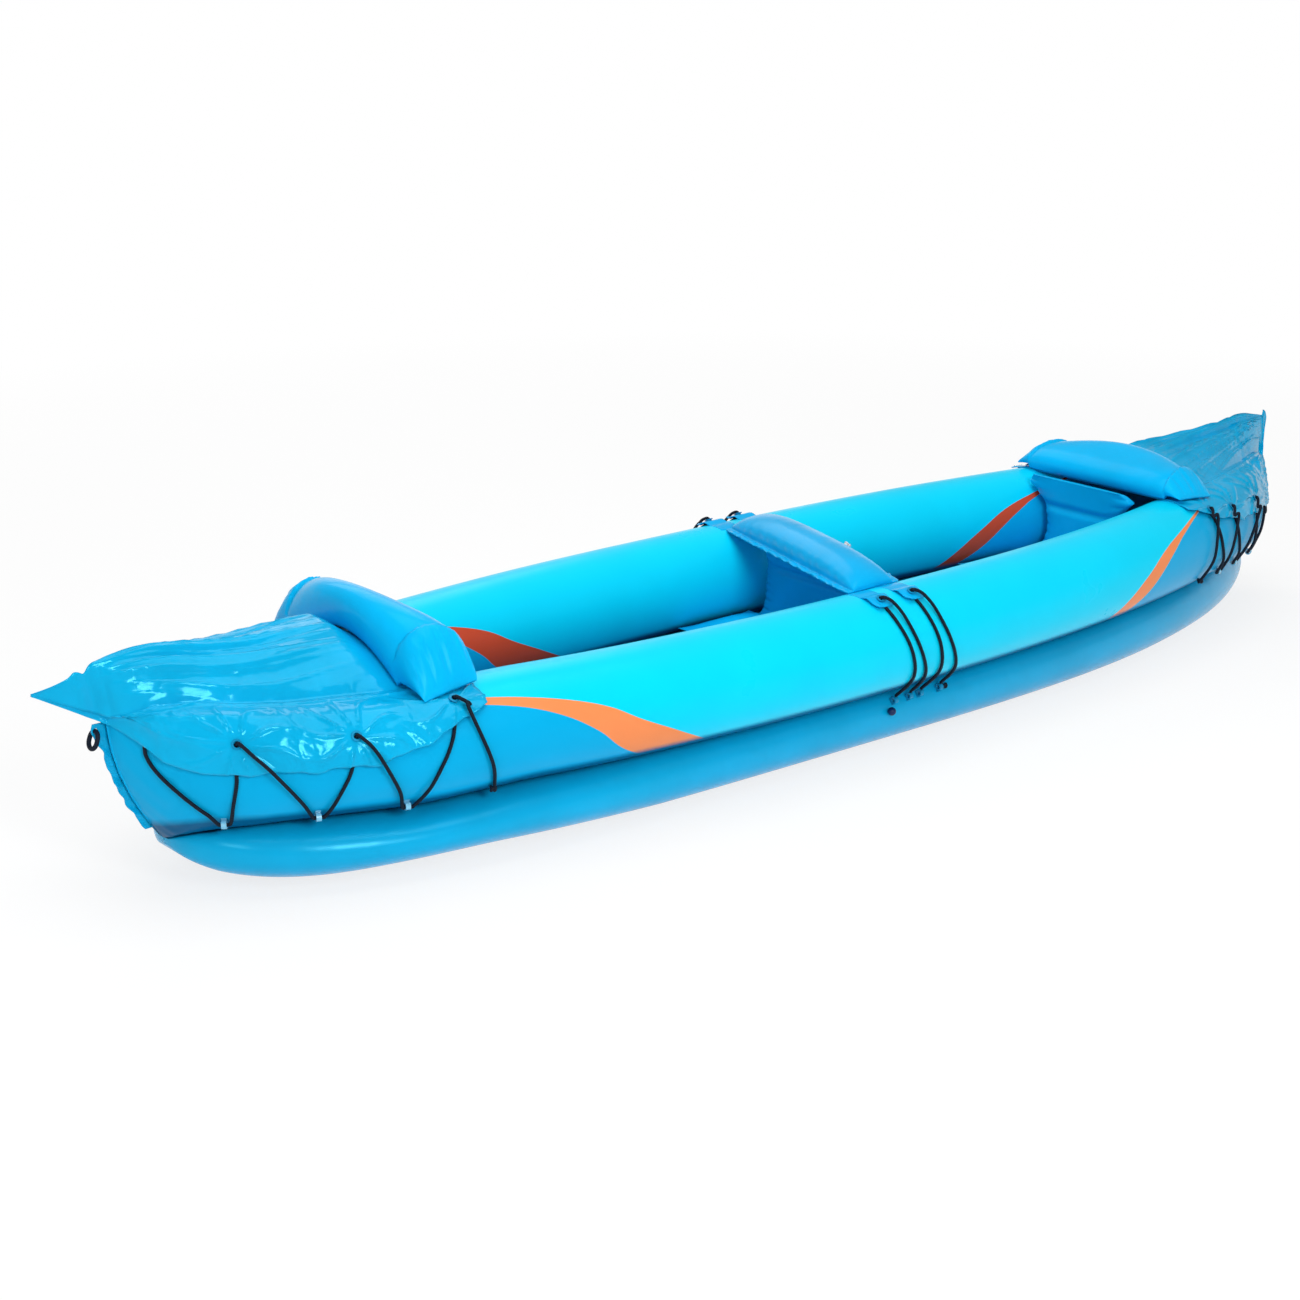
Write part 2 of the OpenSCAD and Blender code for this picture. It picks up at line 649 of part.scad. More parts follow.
module eyelet(film) {
    rotate_extrude($fn = 40)
        polygon([
            [eyelet_bore, -film - 0.2],
            [eyelet_barrel, -film - 0.2],
            [eyelet_barrel, eyelet_seat],
            [eyelet_rim, eyelet_seat],
            [eyelet_rim, eyelet_seat + eyelet_flange],
            [eyelet_bore, eyelet_seat + eyelet_flange]
        ]);
}
module eyelet_hole() {
    cylinder(h = 24, r = eyelet_barrel + seat_gap, center = true, $fn = 40);
}

module bow_deck() {
    color(deck_blue) difference() {
        deck(bow_deck_start, bow_reach, [bow_tip_reach, 0, bow_tip_height]);
        at_eyelets(bow_eyelets, 1) eyelet_hole();
    }
}
module stern_deck() {
    color(deck_blue) difference() {
        deck(-stern_deck_start, -stern_reach, [-stern_tip_reach, 0, stern_tip_height]);
        at_eyelets(stern_eyelets, -1) eyelet_hole();
    }
}
module bow_deck_eyelets() {
    color(clear_white) at_eyelets(bow_eyelets, 1) eyelet(deck_thickness);
}
module stern_deck_eyelets() {
    color(clear_white) at_eyelets(stern_eyelets, -1) eyelet(deck_thickness);
}

// Rolls: inflated bolsters on the inner edge of each deck, ends drawn flat over the tubes
roll_tab = 5;
bow_roll_half = skirt_pt(bow_eyelets[2][0], bow_eyelets[2][1])[1] - roll_eyelet_margin;
stern_roll_half = skirt_pt(stern_eyelets[0][0], stern_eyelets[0][1])[1] - roll_eyelet_margin;
roll_places = 16;
roll_sides = 18;
// Height of the deck's outer face
function deck_over(x, y) =
    let (
        edge = skirt_pt(x, shoulder_angle, deck_thickness),
        v = abs(y) / edge[1],
        out = skirt_off(56) + deck_thickness,
        side = clamp((abs(y) - tube_y(x)) / (tube_a(x) + out), -1, 1)
    )
    v < 1 ? edge[2] + deck_rise(x) * (1 - v * v)
          : max(tube_z(x) + (tube_b(x) + out) * sqrt(1 - side * side), edge[2] - 70);
function roll_seat(place) = place < 0 ? 2.6 : 3.35;
function roll_height(place) = place < 0 ? stern_roll_height : bow_roll_height;
function roll_puff(s) = pow(max(0, 1 - pow(abs(s), 5)), 0.6);
function roll_section(place, half, s) =
    let (
        run = mix(0.8, 1, roll_puff(s)) * roll_half_run,
        rise = mix(roll_tab, roll_height(place), roll_puff(s)),
        low = -0.45
    )
    [
        for (k = [0 : roll_sides - 1])
            let (t = 360 * (k + 0.5) / roll_sides, x = place + run * cos(t))
            [
                x,
                s * half,
                deck_over(x, s * half) + roll_seat(place)
                    + max(rise * (sin(t) - low) / (1 - low), 0.02 * (k % 2))
            ]
    ];
module roll(place, half) {
    loft([for (i = [0 : roll_places]) roll_section(place, half, sin(90 * (1 - 2 * i / roll_places)))]);
}
roll_valve_angle = 10;
function roll_valve_pt(place) =
    let (x = place - roll_half_run * cos(roll_valve_angle))
    [x, 0, deck_over(x, 0) + roll_seat(place) + roll_height(place) * 0.49];
roll_valve_out = [-cos(roll_valve_angle), 0, sin(roll_valve_angle)];
module at_roll_valve(place) {
    face_along(roll_valve_pt(place), roll_valve_out, [0, 1, 0]) children();
}
module bow_roll() {
    color(deck_blue) difference() {
        roll(bow_roll_place, bow_roll_half);
        at_roll_valve(bow_roll_place) stem_well();
    }
}
module stern_roll() {
    color(deck_blue) difference() {
        roll(-stern_roll_place, stern_roll_half);
        at_roll_valve(-stern_roll_place) stem_well();
    }
}

// Loops: clear tabs welded to the tubes low on their sides, or to the bottom chamber's shoulder.
// Angles below zero lie on the tube, others on the shoulder; places are shares of the deck's length.
bow_lacing_angle = -48;
stern_lacing_angle = -42;
bow_loops = [for (part = [0.777, 0.517, 0.254]) deck_place(1, part)];
bow_knot = deck_place(1, -0.015);
bow_lace_start = deck_place(1, 0.94);
stern_loops = [for (part = [0.21, 0.36, 0.53]) -deck_place(-1, part)];
stern_knot = -deck_place(-1, 0.06);
stern_lace_start = -deck_place(-1, 0.69);
loop_stand = 9;
loop_wall = 2.6;
loop_run = 9;
function loop_seat(x, angle, off = 0) = angle < 0 ? tube_pt(x, angle, off) : shoulder_pt(x, angle, off);
function loop_along(x, angle) = loop_seat(x + 5, angle) - loop_seat(x - 5, angle);
function loop_out(x, angle) =
    unit(cross(loop_along(x, angle), loop_seat(x, angle - 4) - loop_seat(x, angle + 4)));
function loop_hole(x, angle) = loop_seat(x, angle) + loop_stand * loop_out(x, angle);
module lacing_loop() {
    rotate([90, 0, 90])
        translate([0, 0, -loop_run / 2])
            linear_extrude(loop_run)
                difference() {
                    union() {
                        translate([-8, seat_gap]) square([16, 1.6]);
                        translate([-3, seat_gap]) square([6, loop_stand]);
                        translate([0, loop_stand]) circle(loop_bore / 2 + loop_wall, $fn = 40);
                    }
                    translate([0, loop_stand]) circle(loop_bore / 2, $fn = 40);
                }
}
module loops(list, way, angle) {
    for (x = list)
        both_sides()
            face_along(
                loop_seat(way * x, angle), loop_out(way * x, angle), loop_along(way * x, angle)
            ) lacing_loop();
}
module bow_lacing_loops() {
    color(clear_white) loops(bow_loops, 1, bow_lacing_angle);
}
module stern_lacing_loops() {
    color(clear_white) loops(stern_loops, -1, stern_lacing_angle);
}

// Lacing: one cord a side at each end, zigzag between loops and eyelets, passing behind the hem
over_skirt = deck_thickness + eyelet_flange + cord_radius + 1.2;
// The cord comes up behind the hem, out of the eyelet and away down over the skirt
function through_eyelet(way, e, from, to) =
    let (x = way * e[0], back = way * sign(from - e[0]), on = way * sign(to - e[0]))
    [
        tube_pt(x + back * 7, e[1] - 10, cord_rest),
        skirt_pt(x, e[1] - 1.1, -5),
        skirt_pt(x, e[1], over_skirt - 1),
        skirt_pt(x + on * 6, e[1] - 4, over_skirt + 1.4),
        skirt_pt(x + on * 16, e[1] - 10, over_skirt)
    ];
function lacing_angle(x) = x < 0 ? stern_lacing_angle : bow_lacing_angle;
function through_loop(way, x, turn) =
    let (
        angle = lacing_angle(way),
        hole = loop_hole(way * x, angle),
        along = unit(loop_along(way * x, angle)) * way * turn,
        rise = unit(loop_seat(way * x, angle + 4) - loop_seat(way * x, angle - 4))
    )
    [for (d = [11, 4.5, -4.5, -11]) hole + along * d + rise * max(0, abs(d) - 7)];
// From an eyelet's outside down to a loop, over the hem
function leg_down(way, e, x) =
    let (
        low = lacing_angle(way),
        at_hem = min(e[1] - 12, hem_angle(way * mix(e[0], x, 0.4)) + 3),
        part = (e[1] - at_hem) / (e[1] - low)
    )
    [
        skirt_pt(way * mix(e[0], x, part), at_hem, over_skirt + hem_wave),
        tube_pt(way * mix(e[0], x, mix(part, 1, 0.55)), mix(at_hem, low, 0.55), cord_rest + 6)
    ];
// From a loop up to the inside of an eyelet, behind the hem
function leg_up(way, x, e) =
    let (low = lacing_angle(way))
    [
        tube_pt(way * mix(x, e[0], 0.3), mix(low, e[1] - 10, 0.3), cord_rest + 4),
        tube_pt(way * mix(x, e[0], 0.7), mix(low, e[1] - 10, 0.7), cord_rest)
    ];
function knot_place(x) = loop_seat(x, lacing_angle(x), knot_diameter / 2 + seat_gap);
function knot_end(x) = knot_place(x) + [0, 0.62, 0.78] * (knot_diameter / 2 + 1.5);
// Loops and eyelets run from the deck tip towards midships, ending at the knot
function lace_keys(way, start, loops, eyelets, knot) = concat(
    [for (part = [1, 0.7, 0.35])
        tube_pt(way * mix(loops[0], start, part), mix(lacing_angle(way), 13, part), cord_rest + 4 - 1.5 * part)],
    through_loop(way, loops[0], 1),
    leg_up(way, loops[0], eyelets[0]),
    through_eyelet(way, eyelets[0], loops[0], loops[1]),
    leg_down(way, eyelets[0], loops[1]),
    through_loop(way, loops[1], 1),
    leg_up(way, loops[1], eyelets[1]),
    through_eyelet(way, eyelets[1], loops[1], loops[2]),
    leg_down(way, eyelets[1], loops[2]),
    through_loop(way, loops[2], 1),
    leg_up(way, loops[2], eyelets[2]),
    through_eyelet(way, eyelets[2], loops[2], knot),
    leg_down(way, eyelets[2], knot),
    [knot_end(way * knot)]
);
// Moves the points of a path out to a cord's rest on the port tube
function on_tube(path) = [
    for (p = path)
        let (
            x = 2 * p[0] - leaned(p[0], p[1], p[2])[0],
            y = (p[1] - tube_y(x)) / (tube_a(x) + cord_rest),
            z = (p[2] - tube_z(x)) / (tube_b(x) + cord_rest),
            k = max(1, 1 / norm([y, z]))
        )
        [p[0], mix(tube_y(x), p[1], k), mix(tube_z(x), p[2], k)]
];
bow_lace_keys = lace_keys(1, bow_lace_start, bow_loops, bow_eyelets, bow_knot);
stern_lace_keys = lace_keys(-1, stern_lace_start, reversed(stern_loops), reversed(stern_eyelets), stern_knot);
lace_steps = 2;
module bow_port_lacing() {
    color(cord_black) cord(on_tube(spline(bow_lace_keys, lace_steps)));
}
module bow_starboard_lacing() {
    color(cord_black) mirror([0, 1, 0]) cord(on_tube(spline(bow_lace_keys, lace_steps)));
}
module stern_port_lacing() {
    color(cord_black) cord(on_tube(spline(stern_lace_keys, lace_steps)));
}
module stern_starboard_lacing() {
    color(cord_black) mirror([0, 1, 0]) cord(on_tube(spline(stern_lace_keys, lace_steps)));
}
module lacing_knots() {
    color(cord_black) both_sides() {
        for (x = [bow_knot, -stern_knot])
            translate(knot_place(x)) sphere(knot_diameter / 2, $fn = 32);
    }
}

// Thwart pad: crescent pad that lies on both tubes, with flat welded flaps at its ends
thwart_places = 16;
// Level at which the pad's ends lie on the inner shoulders of the tubes
thwart_lean = (thwart_half_span - tube_y(thwart_place)) / tube_a(thwart_place);
thwart_base = tube_z(thwart_place) + tube_b(thwart_place) * sqrt(1 - pow(thwart_lean, 2)) + seat_gap + 0.3;
function thwart_section(s) =
    let (
        y = s * thwart_half_span,
        across = thwart_place + thwart_skew * y,
        half = thwart_half_run * mix(0.88, 1, sqrt(max(0, 1 - pow(abs(s), 6)))),
        crown = 6 + (thwart_crown - 6) * sqrt(max(0, 1 - pow(abs(s), 3))),
        base = thwart_base
    )
    concat(
        [[across + half + thwart_border, y, base + 2.6]],
        [for (k = [0 : 9]) let (t = 180 * k / 9)
            [across + half * cos(t), y, base + 3 + (crown - 3) * pow(sin(t), 0.8)]],
        [[across - half - thwart_border, y, base + 2.6]],
        [for (k = [0 : 3])
            [across + (half + thwart_border) * mix(-1, 1, k / 3), y, base + (k % 3 == 0 ? 0.2 : 0)]]
    );
module thwart_body() {
    loft([for (i = [0 : thwart_places]) thwart_section(sin(90 * (1 - 2 * i / thwart_places)))]);
}
thwart_valve_y = 60;
module at_thwart_valve() {
    face_along(
        [
            thwart_place + thwart_skew * thwart_valve_y - thwart_half_run * cos(20),
            thwart_valve_y,
            thwart_base + 3 + (thwart_crown - 3) * 0.42
        ],
        [-0.88, 0, 0.47], [0, 1, 0]
    ) children();
}
module thwart_pad() {
    color(deck_blue) difference() {
        thwart_body();
        at_thwart_valve() stem_well();
    }
}
flap_offsets = [54, -30];
flap_from = acos((thwart_half_span + 3 - tube_y(thwart_place)) / tube_a(thwart_place));
flap_to = 56;
flap_steps = 9;
flap_hole_angle = 66;
flap_film = 2;
flap_lift = 8;
function flap_off(angle) = 0.7 + flap_lift * ease((84 - angle) / 12);
function flap_grid(x, out) = [
    for (i = [0 : 4])
        [for (k = [0 : flap_steps])
            let (t = mix(flap_from, flap_to, k / flap_steps))
            tube_pt(x + flap_width * (i / 4 - 0.5) * (1 - 0.3 * ease((66 - t) / 14)), t, flap_off(t) + out)]
];
// The pad lies askew, so its starboard flaps sit further aft
function flap_place(side, f) = thwart_place + side * thwart_skew * thwart_half_span + f;
module at_flap_holes(side) {
    for (f = flap_offsets)
        face_along(
            tube_pt(flap_place(side, f), flap_hole_angle, flap_off(flap_hole_angle) + flap_film),
            [0, cos(flap_hole_angle - 6), sin(flap_hole_angle - 6)]
        ) children();
}
module thwart_flaps(side) {
    difference() {
        for (f = flap_offsets)
            slab(flap_grid(flap_place(side, f), flap_film), flap_grid(flap_place(side, f), 0));
        at_flap_holes(side) eyelet_hole();
    }
}
module thwart_port_flaps() {
    color(deck_blue) thwart_flaps(1);
}
module thwart_starboard_flaps() {
    color(deck_blue) mirror([0, 1, 0]) thwart_flaps(-1);
}
module thwart_eyelets() {
    color(clear_white) {
        at_flap_holes(1) eyelet(flap_film);
        mirror([0, 1, 0]) at_flap_holes(-1) eyelet(flap_film);
    }
}

// Thwart ties: each cord runs from a loop up through a flap eyelet and back down to the next loop
tie_angle = 36;
tie_loops = [-40, -82, -112, -168];
module thwart_tie_loops() {
    color(clear_white) loops(tie_loops, 1, tie_angle);
}
over_flap = flap_film + eyelet_flange + cord_radius + 1;
function tie_keys(x_hole, x_under, x_over) =
    let (
        low_under = loop_hole(x_under, tie_angle),
        low_over = loop_hole(x_over, tie_angle),
        away = unit(loop_out(0, tie_angle))
    )
    [
        low_under + [0, 3, cord_radius + 6],
        tube_pt(mix(x_under, x_hole, 0.2), -32, cord_rest + 1),
        tube_pt(mix(x_under, x_hole, 0.5), 0, cord_rest),
        tube_pt(mix(x_under, x_hole, 0.85), 32, cord_rest),
        tube_pt(x_hole, flap_hole_angle - 9, cord_rest),
        tube_pt(x_hole, flap_hole_angle - 0.5, flap_off(flap_hole_angle) - 3),
        tube_pt(x_hole, flap_hole_angle, flap_off(flap_hole_angle) + over_flap - 1),
        tube_pt(mix(x_over, x_hole, 0.94), flap_hole_angle - 4, flap_off(flap_hole_angle) + over_flap + 1.4),
        tube_pt(mix(x_over, x_hole, 0.86), flap_hole_angle - 11, flap_off(flap_hole_angle) + over_flap),
        tube_pt(mix(x_over, x_hole, 0.75), 38, cord_rest + 6),
        tube_pt(mix(x_over, x_hole, 0.5), 4, cord_rest),
        tube_pt(mix(x_over, x_hole, 0.2), -32, cord_rest + 1),
        low_over + [0, 3, cord_radius + 6]
    ];
module thwart_ties(side) {
    cord(on_tube(spline(tie_keys(flap_place(side, flap_offsets[0]), tie_loops[0], tie_loops[1]), 2)));
    cord(on_tube(spline(tie_keys(flap_place(side, flap_offsets[1]), tie_loops[2], tie_loops[3]), 2)));
}
module thwart_port_ties() {
    color(cord_black) thwart_ties(1);
}
module thwart_starboard_ties() {
    color(cord_black) mirror([0, 1, 0]) thwart_ties(-1);
}
module tie_ball_stops() {
    color("navy") both_sides()
        translate(shoulder_pt(tie_loops[0] + 16, 18, ball_diameter / 2 + seat_gap))
            sphere(ball_diameter / 2, $fn = 32);
}
module tie_knots() {
    color(cord_black) both_sides()
        translate(shoulder_pt(tie_loops[3] - 14, 36, knot_diameter / 2 + seat_gap))
            sphere(knot_diameter / 2, $fn = 32);
}

// Cushions and backrests: crowned pads with drawn-in sides and welded channels
pad_steps = 10;
function pad_bulge(s) = pow(max(0, 1 - pow(abs(s), 2.5)), 0.8);
function channel(t, count) = abs(sin(90 * count * (t + 1)));
// Grid of a pad from x0 to x1 with half widths w0 and w1, bottom at base, rising by height
function pad_grid(x0, x1, w0, w1, base, height, rim, channels, depth, top) = [
    for (i = [0 : pad_steps])
        let (s = sin(90 * (2 * i / pad_steps - 1)))
        [for (j = [0 : pad_steps])
            let (
                t = sin(90 * (2 * j / pad_steps - 1)),
                pull = 1 - 0.05 * (1 - t * t) * pow(max(0, s), 4),
                draw = 1 - 0.06 * (1 - s * s) * pow(abs(t), 4),
                x = mix(x0, x1, 0.5 + 0.5 * s * pull),
                w = mix(w0, w1, 0.5 + 0.5 * s) * draw,
                puff = pad_bulge(s) * pad_bulge(t)
            )
            [
                x,
                t * w,
                base + (top ? rim + (height - rim) * puff * (1 - depth * (1 - channel(t, channels)))
                            : rim * (1 - ease(puff * 3)))
            ]]
];
cushion_rim = 33;
cushion_channels = 3;
channel_depth = 0.22;
front_seat_back = -115;
rear_seat_back = -925;
cushion_side = 12;
// Floor level under a cushion, at the crest of the ribs
function cushion_base(x) = edge_mid(x) + edge_half(x) + seat_gap;
function cushion_half(x) = tube_inside(x, cushion_base(x) + cushion_height * 0.5) - cushion_side;
module cushion(back) {
    front = back + cushion_length;
    base = cushion_base(back);
    slab(
        pad_grid(back, front, cushion_half(back), cushion_half(front), base, cushion_height,
            cushion_rim, cushion_channels, channel_depth, true),
        pad_grid(back, front, cushion_half(back), cushion_half(front), base, cushion_height,
            cushion_rim, cushion_channels, channel_depth, false),
        joined_rim = true
    );
}
module at_cushion_valve(back) {
    face_along(
        [back + cushion_length * 0.86, cushion_half(back) * 0.45, cushion_base(back) + cushion_height * 0.62],
        [0.75, 0, 0.66], [0, 1, 0]
    ) children();
}
module front_seat_cushion() {
    color(deck_blue) difference() {
        cushion(front_seat_back);
        at_cushion_valve(front_seat_back) stem_well();
    }
}
module rear_seat_cushion() {
    color(deck_blue) difference() {
        cushion(rear_seat_back);
        at_cushion_valve(rear_seat_back) stem_well();
    }
}

// A backrest stands on the weld at the back of its cushion, flat in front and round behind
backrest_steps = 10;
backrest_side = 12;
front_backrest_top = 328;
rear_backrest_top = 350;
backrest_weld = 0.5;
function backrest_foot(back) = cushion_base(back) + cushion_rim;
function backrest_half(back, z, most) =
    min(min(tube_inside(back, z), tube_inside(back - backrest_thickness, z)) - backrest_side, most);
function backrest_section(back, top, most, s) =
    let (
        z = mix(backrest_foot(back), top, 0.5 + 0.5 * s),
        half = backrest_half(back, z, most),
        thick = backrest_thickness * mix(0.25, 1, pow(max(0, 1 - pow(abs(s), 3)), 0.5)),
        front = back - backrest_weld - 4 * (1 - s * s)
    )
    [
        for (k = [0 : 19])
            let (c = cos(18 * k), d = sin(18 * k))
            [
                front - thick / 2 + thick / 2 * sign(d) * pow(abs(d), 0.7),
                half * sign(c) * pow(abs(c), 0.6),
                z
            ]
    ];
module backrest(back, top, most) {
    heights = [for (i = [0 : backrest_steps]) sin(90 * (1 - 2 * i / backrest_steps))];
    loft([for (s = heights) backrest_section(back, top, most, s)]);
}
module at_backrest_valve(back, top) {
    face_along(
        [back - backrest_weld - 4 - backrest_thickness, 30, mix(backrest_foot(back), top, 0.5)],
        [-1, 0, 0], [0, 1, 0]
    ) children();
}
module front_backrest() {
    color(hull_blue) difference() {
        backrest(front_seat_back, front_backrest_top, front_backrest_half);
        at_backrest_valve(front_seat_back, front_backrest_top) stem_well();
    }
}
module rear_backrest() {
    color(deck_blue) difference() {
        backrest(rear_seat_back, rear_backrest_top, rear_backrest_half);
        at_backrest_valve(rear_seat_back, rear_backrest_top) stem_well();
    }
}

// Large valves: a ringed base in a well, an inner flap, and a plug cap on a strap
cap_grip = 4;
cap_hinge_out = valve_radius - 5;
module valve_well() {
    translate([0, 0, -valve_depth]) cylinder(h = valve_depth + 30, r = valve_radius + seat_gap, $fn = 64);
}
base_rise = -2;
module valve_base() {
    difference() {
        union() {
            translate([0, 0, seat_gap - valve_depth])
                cylinder(h = valve_depth - 5, r = valve_radius, $fn = 64);
            translate([0, 0, -6]) cylinder(h = 6 + base_rise, r = valve_bore + 4, $fn = 64);
            translate([cap_hinge_out - 2.5, -4, -6]) cube([5, 8, 6 + base_rise]);
        }
        translate([0, 0, 4 - valve_depth]) cylinder(h = 40, r = valve_bore, $fn = 64);
        translate([0, 0, 2 - valve_depth]) cylinder(h = 6, r = valve_bore - 2, $fn = 64);
    }
}
module valve_flap() {
    translate([0, 0, 4 - valve_depth + seat_gap]) cylinder(h = 1.2, r = valve_bore - seat_gap, $fn = 64);
}
module valve_cap() {
    translate([0, 0, base_rise + seat_gap]) {
        cylinder(h = cap_grip, r = valve_bore + 4, $fn = 64);
        translate([0, 0, -4]) cylinder(h = 5, r = valve_bore - 0.6, $fn = 64);
        translate([valve_bore, -4, 0]) cube([cap_hinge_out - valve_bore, 8, 2]);
        translate([cap_hinge_out, 4, 1]) rotate([90, 0, 0]) cylinder(h = 8, r = 1, $fn = 32);
    }
}
module at_floor_valve() {
    face_along(rib_crown(floor_valve_place[0], floor_valve_place[1]), [0, 0, 1]) children();
}
module port_valve_base() {
    color(valve_grey) at_tube_valve() valve_base();
}
module starboard_valve_base() {
    color(valve_grey) mirror([0, 1, 0]) at_tube_valve() valve_base();
}
module floor_valve_base() {
    color(valve_grey) at_floor_valve() valve_base();
}
module valve_flaps() {
    color(valve_grey) {
        both_sides() at_tube_valve() valve_flap();
        at_floor_valve() valve_flap();
    }
}
module port_valve_cap() {
    color(valve_grey) at_tube_valve() valve_cap();
}
module starboard_valve_cap() {
    color(valve_grey) mirror([0, 1, 0]) at_tube_valve() valve_cap();
}
module floor_valve_cap() {
    color(valve_grey) at_floor_valve() valve_cap();
}

// Small stem valves: a neck on a flange, closed by a plug on a strap
stem_sink = 3;
stem_wall = 2;
module stem_well() {
    translate([0, 0, -stem_sink]) cylinder(h = stem_sink + 20, r = stem_flange + seat_gap, $fn = 48);
}
module valve_stem() {
    difference() {
        translate([0, 0, seat_gap - stem_sink]) {
            cylinder(h = 1.6, r = stem_flange, $fn = 48);
            cylinder(h = stem_neck, r = stem_bore + stem_wall, $fn = 48);
            translate([stem_flange - 3, -2.5, 0]) cube([2.6, 5, stem_neck]);
        }
        translate([0, 0, -stem_sink]) cylinder(h = 40, r = stem_bore, $fn = 48);
    }
}
stem_lip = stem_neck + seat_gap - stem_sink;
plug_pin = 3;
module valve_plug() {
    translate([0, 0, stem_lip + seat_gap]) {
        cylinder(h = 2.4, r = stem_bore + stem_wall + 1, $fn = 48);
        translate([0, 0, -plug_pin]) cylinder(h = plug_pin + 1, r1 = stem_bore - 1.1, r2 = stem_bore - 0.3, $fn = 48);
        translate([stem_bore + stem_wall, -2.5, 0]) cube([6, 5, 1.6]);
    }
}
module small_valve_stems() {
    color(valve_grey) {
        at_roll_valve(bow_roll_place) valve_stem();
        at_roll_valve(-stern_roll_place) valve_stem();
        at_thwart_valve() valve_stem();
        at_cushion_valve(front_seat_back) valve_stem();
        at_cushion_valve(rear_seat_back) valve_stem();
    }
}
module front_backrest_valve_stem() {
    color(valve_grey) at_backrest_valve(front_seat_back, front_backrest_top) valve_stem();
}
module rear_backrest_valve_stem() {
    color(valve_grey) at_backrest_valve(rear_seat_back, rear_backrest_top) valve_stem();
}
module bow_roll_valve_plug() {
    color(valve_grey) at_roll_valve(bow_roll_place) valve_plug();
}
module stern_roll_valve_plug() {
    color(valve_grey) at_roll_valve(-stern_roll_place) valve_plug();
}
module thwart_valve_plug() {
    color(valve_grey) at_thwart_valve() valve_plug();
}
module front_seat_valve_plug() {
    color(valve_grey) at_cushion_valve(front_seat_back) valve_plug();
}
module rear_seat_valve_plug() {
    color(valve_grey) at_cushion_valve(rear_seat_back) valve_plug();
}
module front_backrest_valve_plug() {
    color(valve_grey) at_backrest_valve(front_seat_back, front_backrest_top) valve_plug();
}
module rear_backrest_valve_plug() {
    color(valve_grey) at_backrest_valve(rear_seat_back, rear_backrest_top) valve_plug();
}

bottom_chamber();
port_side_tube();
starboard_side_tube();
port_seam_strip();
starboard_seam_strip();
bow_stem_flange();
stern_stem_flange();
bow_deck();
stern_deck();
bow_roll();
stern_roll();
bow_deck_eyelets();
stern_deck_eyelets();
bow_lacing_loops();
stern_lacing_loops();
bow_port_lacing();
bow_starboard_lacing();
stern_port_lacing();
stern_starboard_lacing();
lacing_knots();
bow_grab_loop();
stern_grab_loop();
thwart_pad();
thwart_port_flaps();
thwart_starboard_flaps();
thwart_eyelets();
thwart_tie_loops();
thwart_port_ties();
thwart_starboard_ties();
tie_ball_stops();
tie_knots();
front_seat_cushion();
front_backrest();
rear_seat_cushion();
rear_backrest();
port_valve_base();
starboard_valve_base();
floor_valve_base();
valve_flaps();
port_valve_cap();
starboard_valve_cap();
floor_valve_cap();
small_valve_stems();
front_backrest_valve_stem();
rear_backrest_valve_stem();
bow_roll_valve_plug();
stern_roll_valve_plug();
thwart_valve_plug();
front_seat_valve_plug();
rear_seat_valve_plug();
front_backrest_valve_plug();
rear_backrest_valve_plug();
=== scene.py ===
import bpy
import numpy as np
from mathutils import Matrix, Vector


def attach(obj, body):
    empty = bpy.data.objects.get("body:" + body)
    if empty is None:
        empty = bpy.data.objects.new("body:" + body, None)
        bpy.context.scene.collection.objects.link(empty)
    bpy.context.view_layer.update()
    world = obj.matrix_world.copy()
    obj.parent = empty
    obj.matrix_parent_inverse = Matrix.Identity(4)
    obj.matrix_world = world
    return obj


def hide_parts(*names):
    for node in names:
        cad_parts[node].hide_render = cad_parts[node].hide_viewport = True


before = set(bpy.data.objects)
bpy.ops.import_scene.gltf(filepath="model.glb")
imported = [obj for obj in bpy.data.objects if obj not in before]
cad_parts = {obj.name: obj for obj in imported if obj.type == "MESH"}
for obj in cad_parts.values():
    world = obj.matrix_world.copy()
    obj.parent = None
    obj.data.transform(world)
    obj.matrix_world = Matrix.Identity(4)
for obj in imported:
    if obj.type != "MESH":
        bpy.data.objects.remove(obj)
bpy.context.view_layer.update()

# Side tubes: two long chambers welded from glossy PVC film, light blue amidships and mid blue at the
# ends, parted by a curved orange stripe. They are round amidships and close to an upright weld at each stem.
bow_reach, stern_reach = 1.5, 1.605
tube_spread, tube_radius = 0.285, 0.102
bow_stem_half, stern_stem_half = 0.12, 0.112
bow_rake, stern_rake = 0.38, 0.1
bow_droop, stern_droop = 0.028, 0.024
floor_bow_reach, floor_stern_reach = 1.405, 1.55
floor_half_beam, floor_height, rib_groove = 0.318, 0.13, 0.014
bow_lift, stern_lift, level_run = 0.038, 0.018, 0.45
bow_vee, stern_vee, bow_sag = 0.027, 0.01, 0.014
seam_gap, stem_gap, tube_end = 0.0026, 0.0013, 0.003


def ease(v):
    """Smooth step: three t squared less two t cubed, with t held between 0 and 1."""
    t = np.clip(v, 0, 1)
    return t * t * (3 - 2 * t)


def mix(a, b, t):
    """Straight blend from a to b."""
    return a + (b - a) * t


def share(x, bow, stern):
    """How far x lies from midships towards the nearer end, from 0 to 1."""
    return np.minimum(1, np.where(x < 0, -x / stern, x / bow))


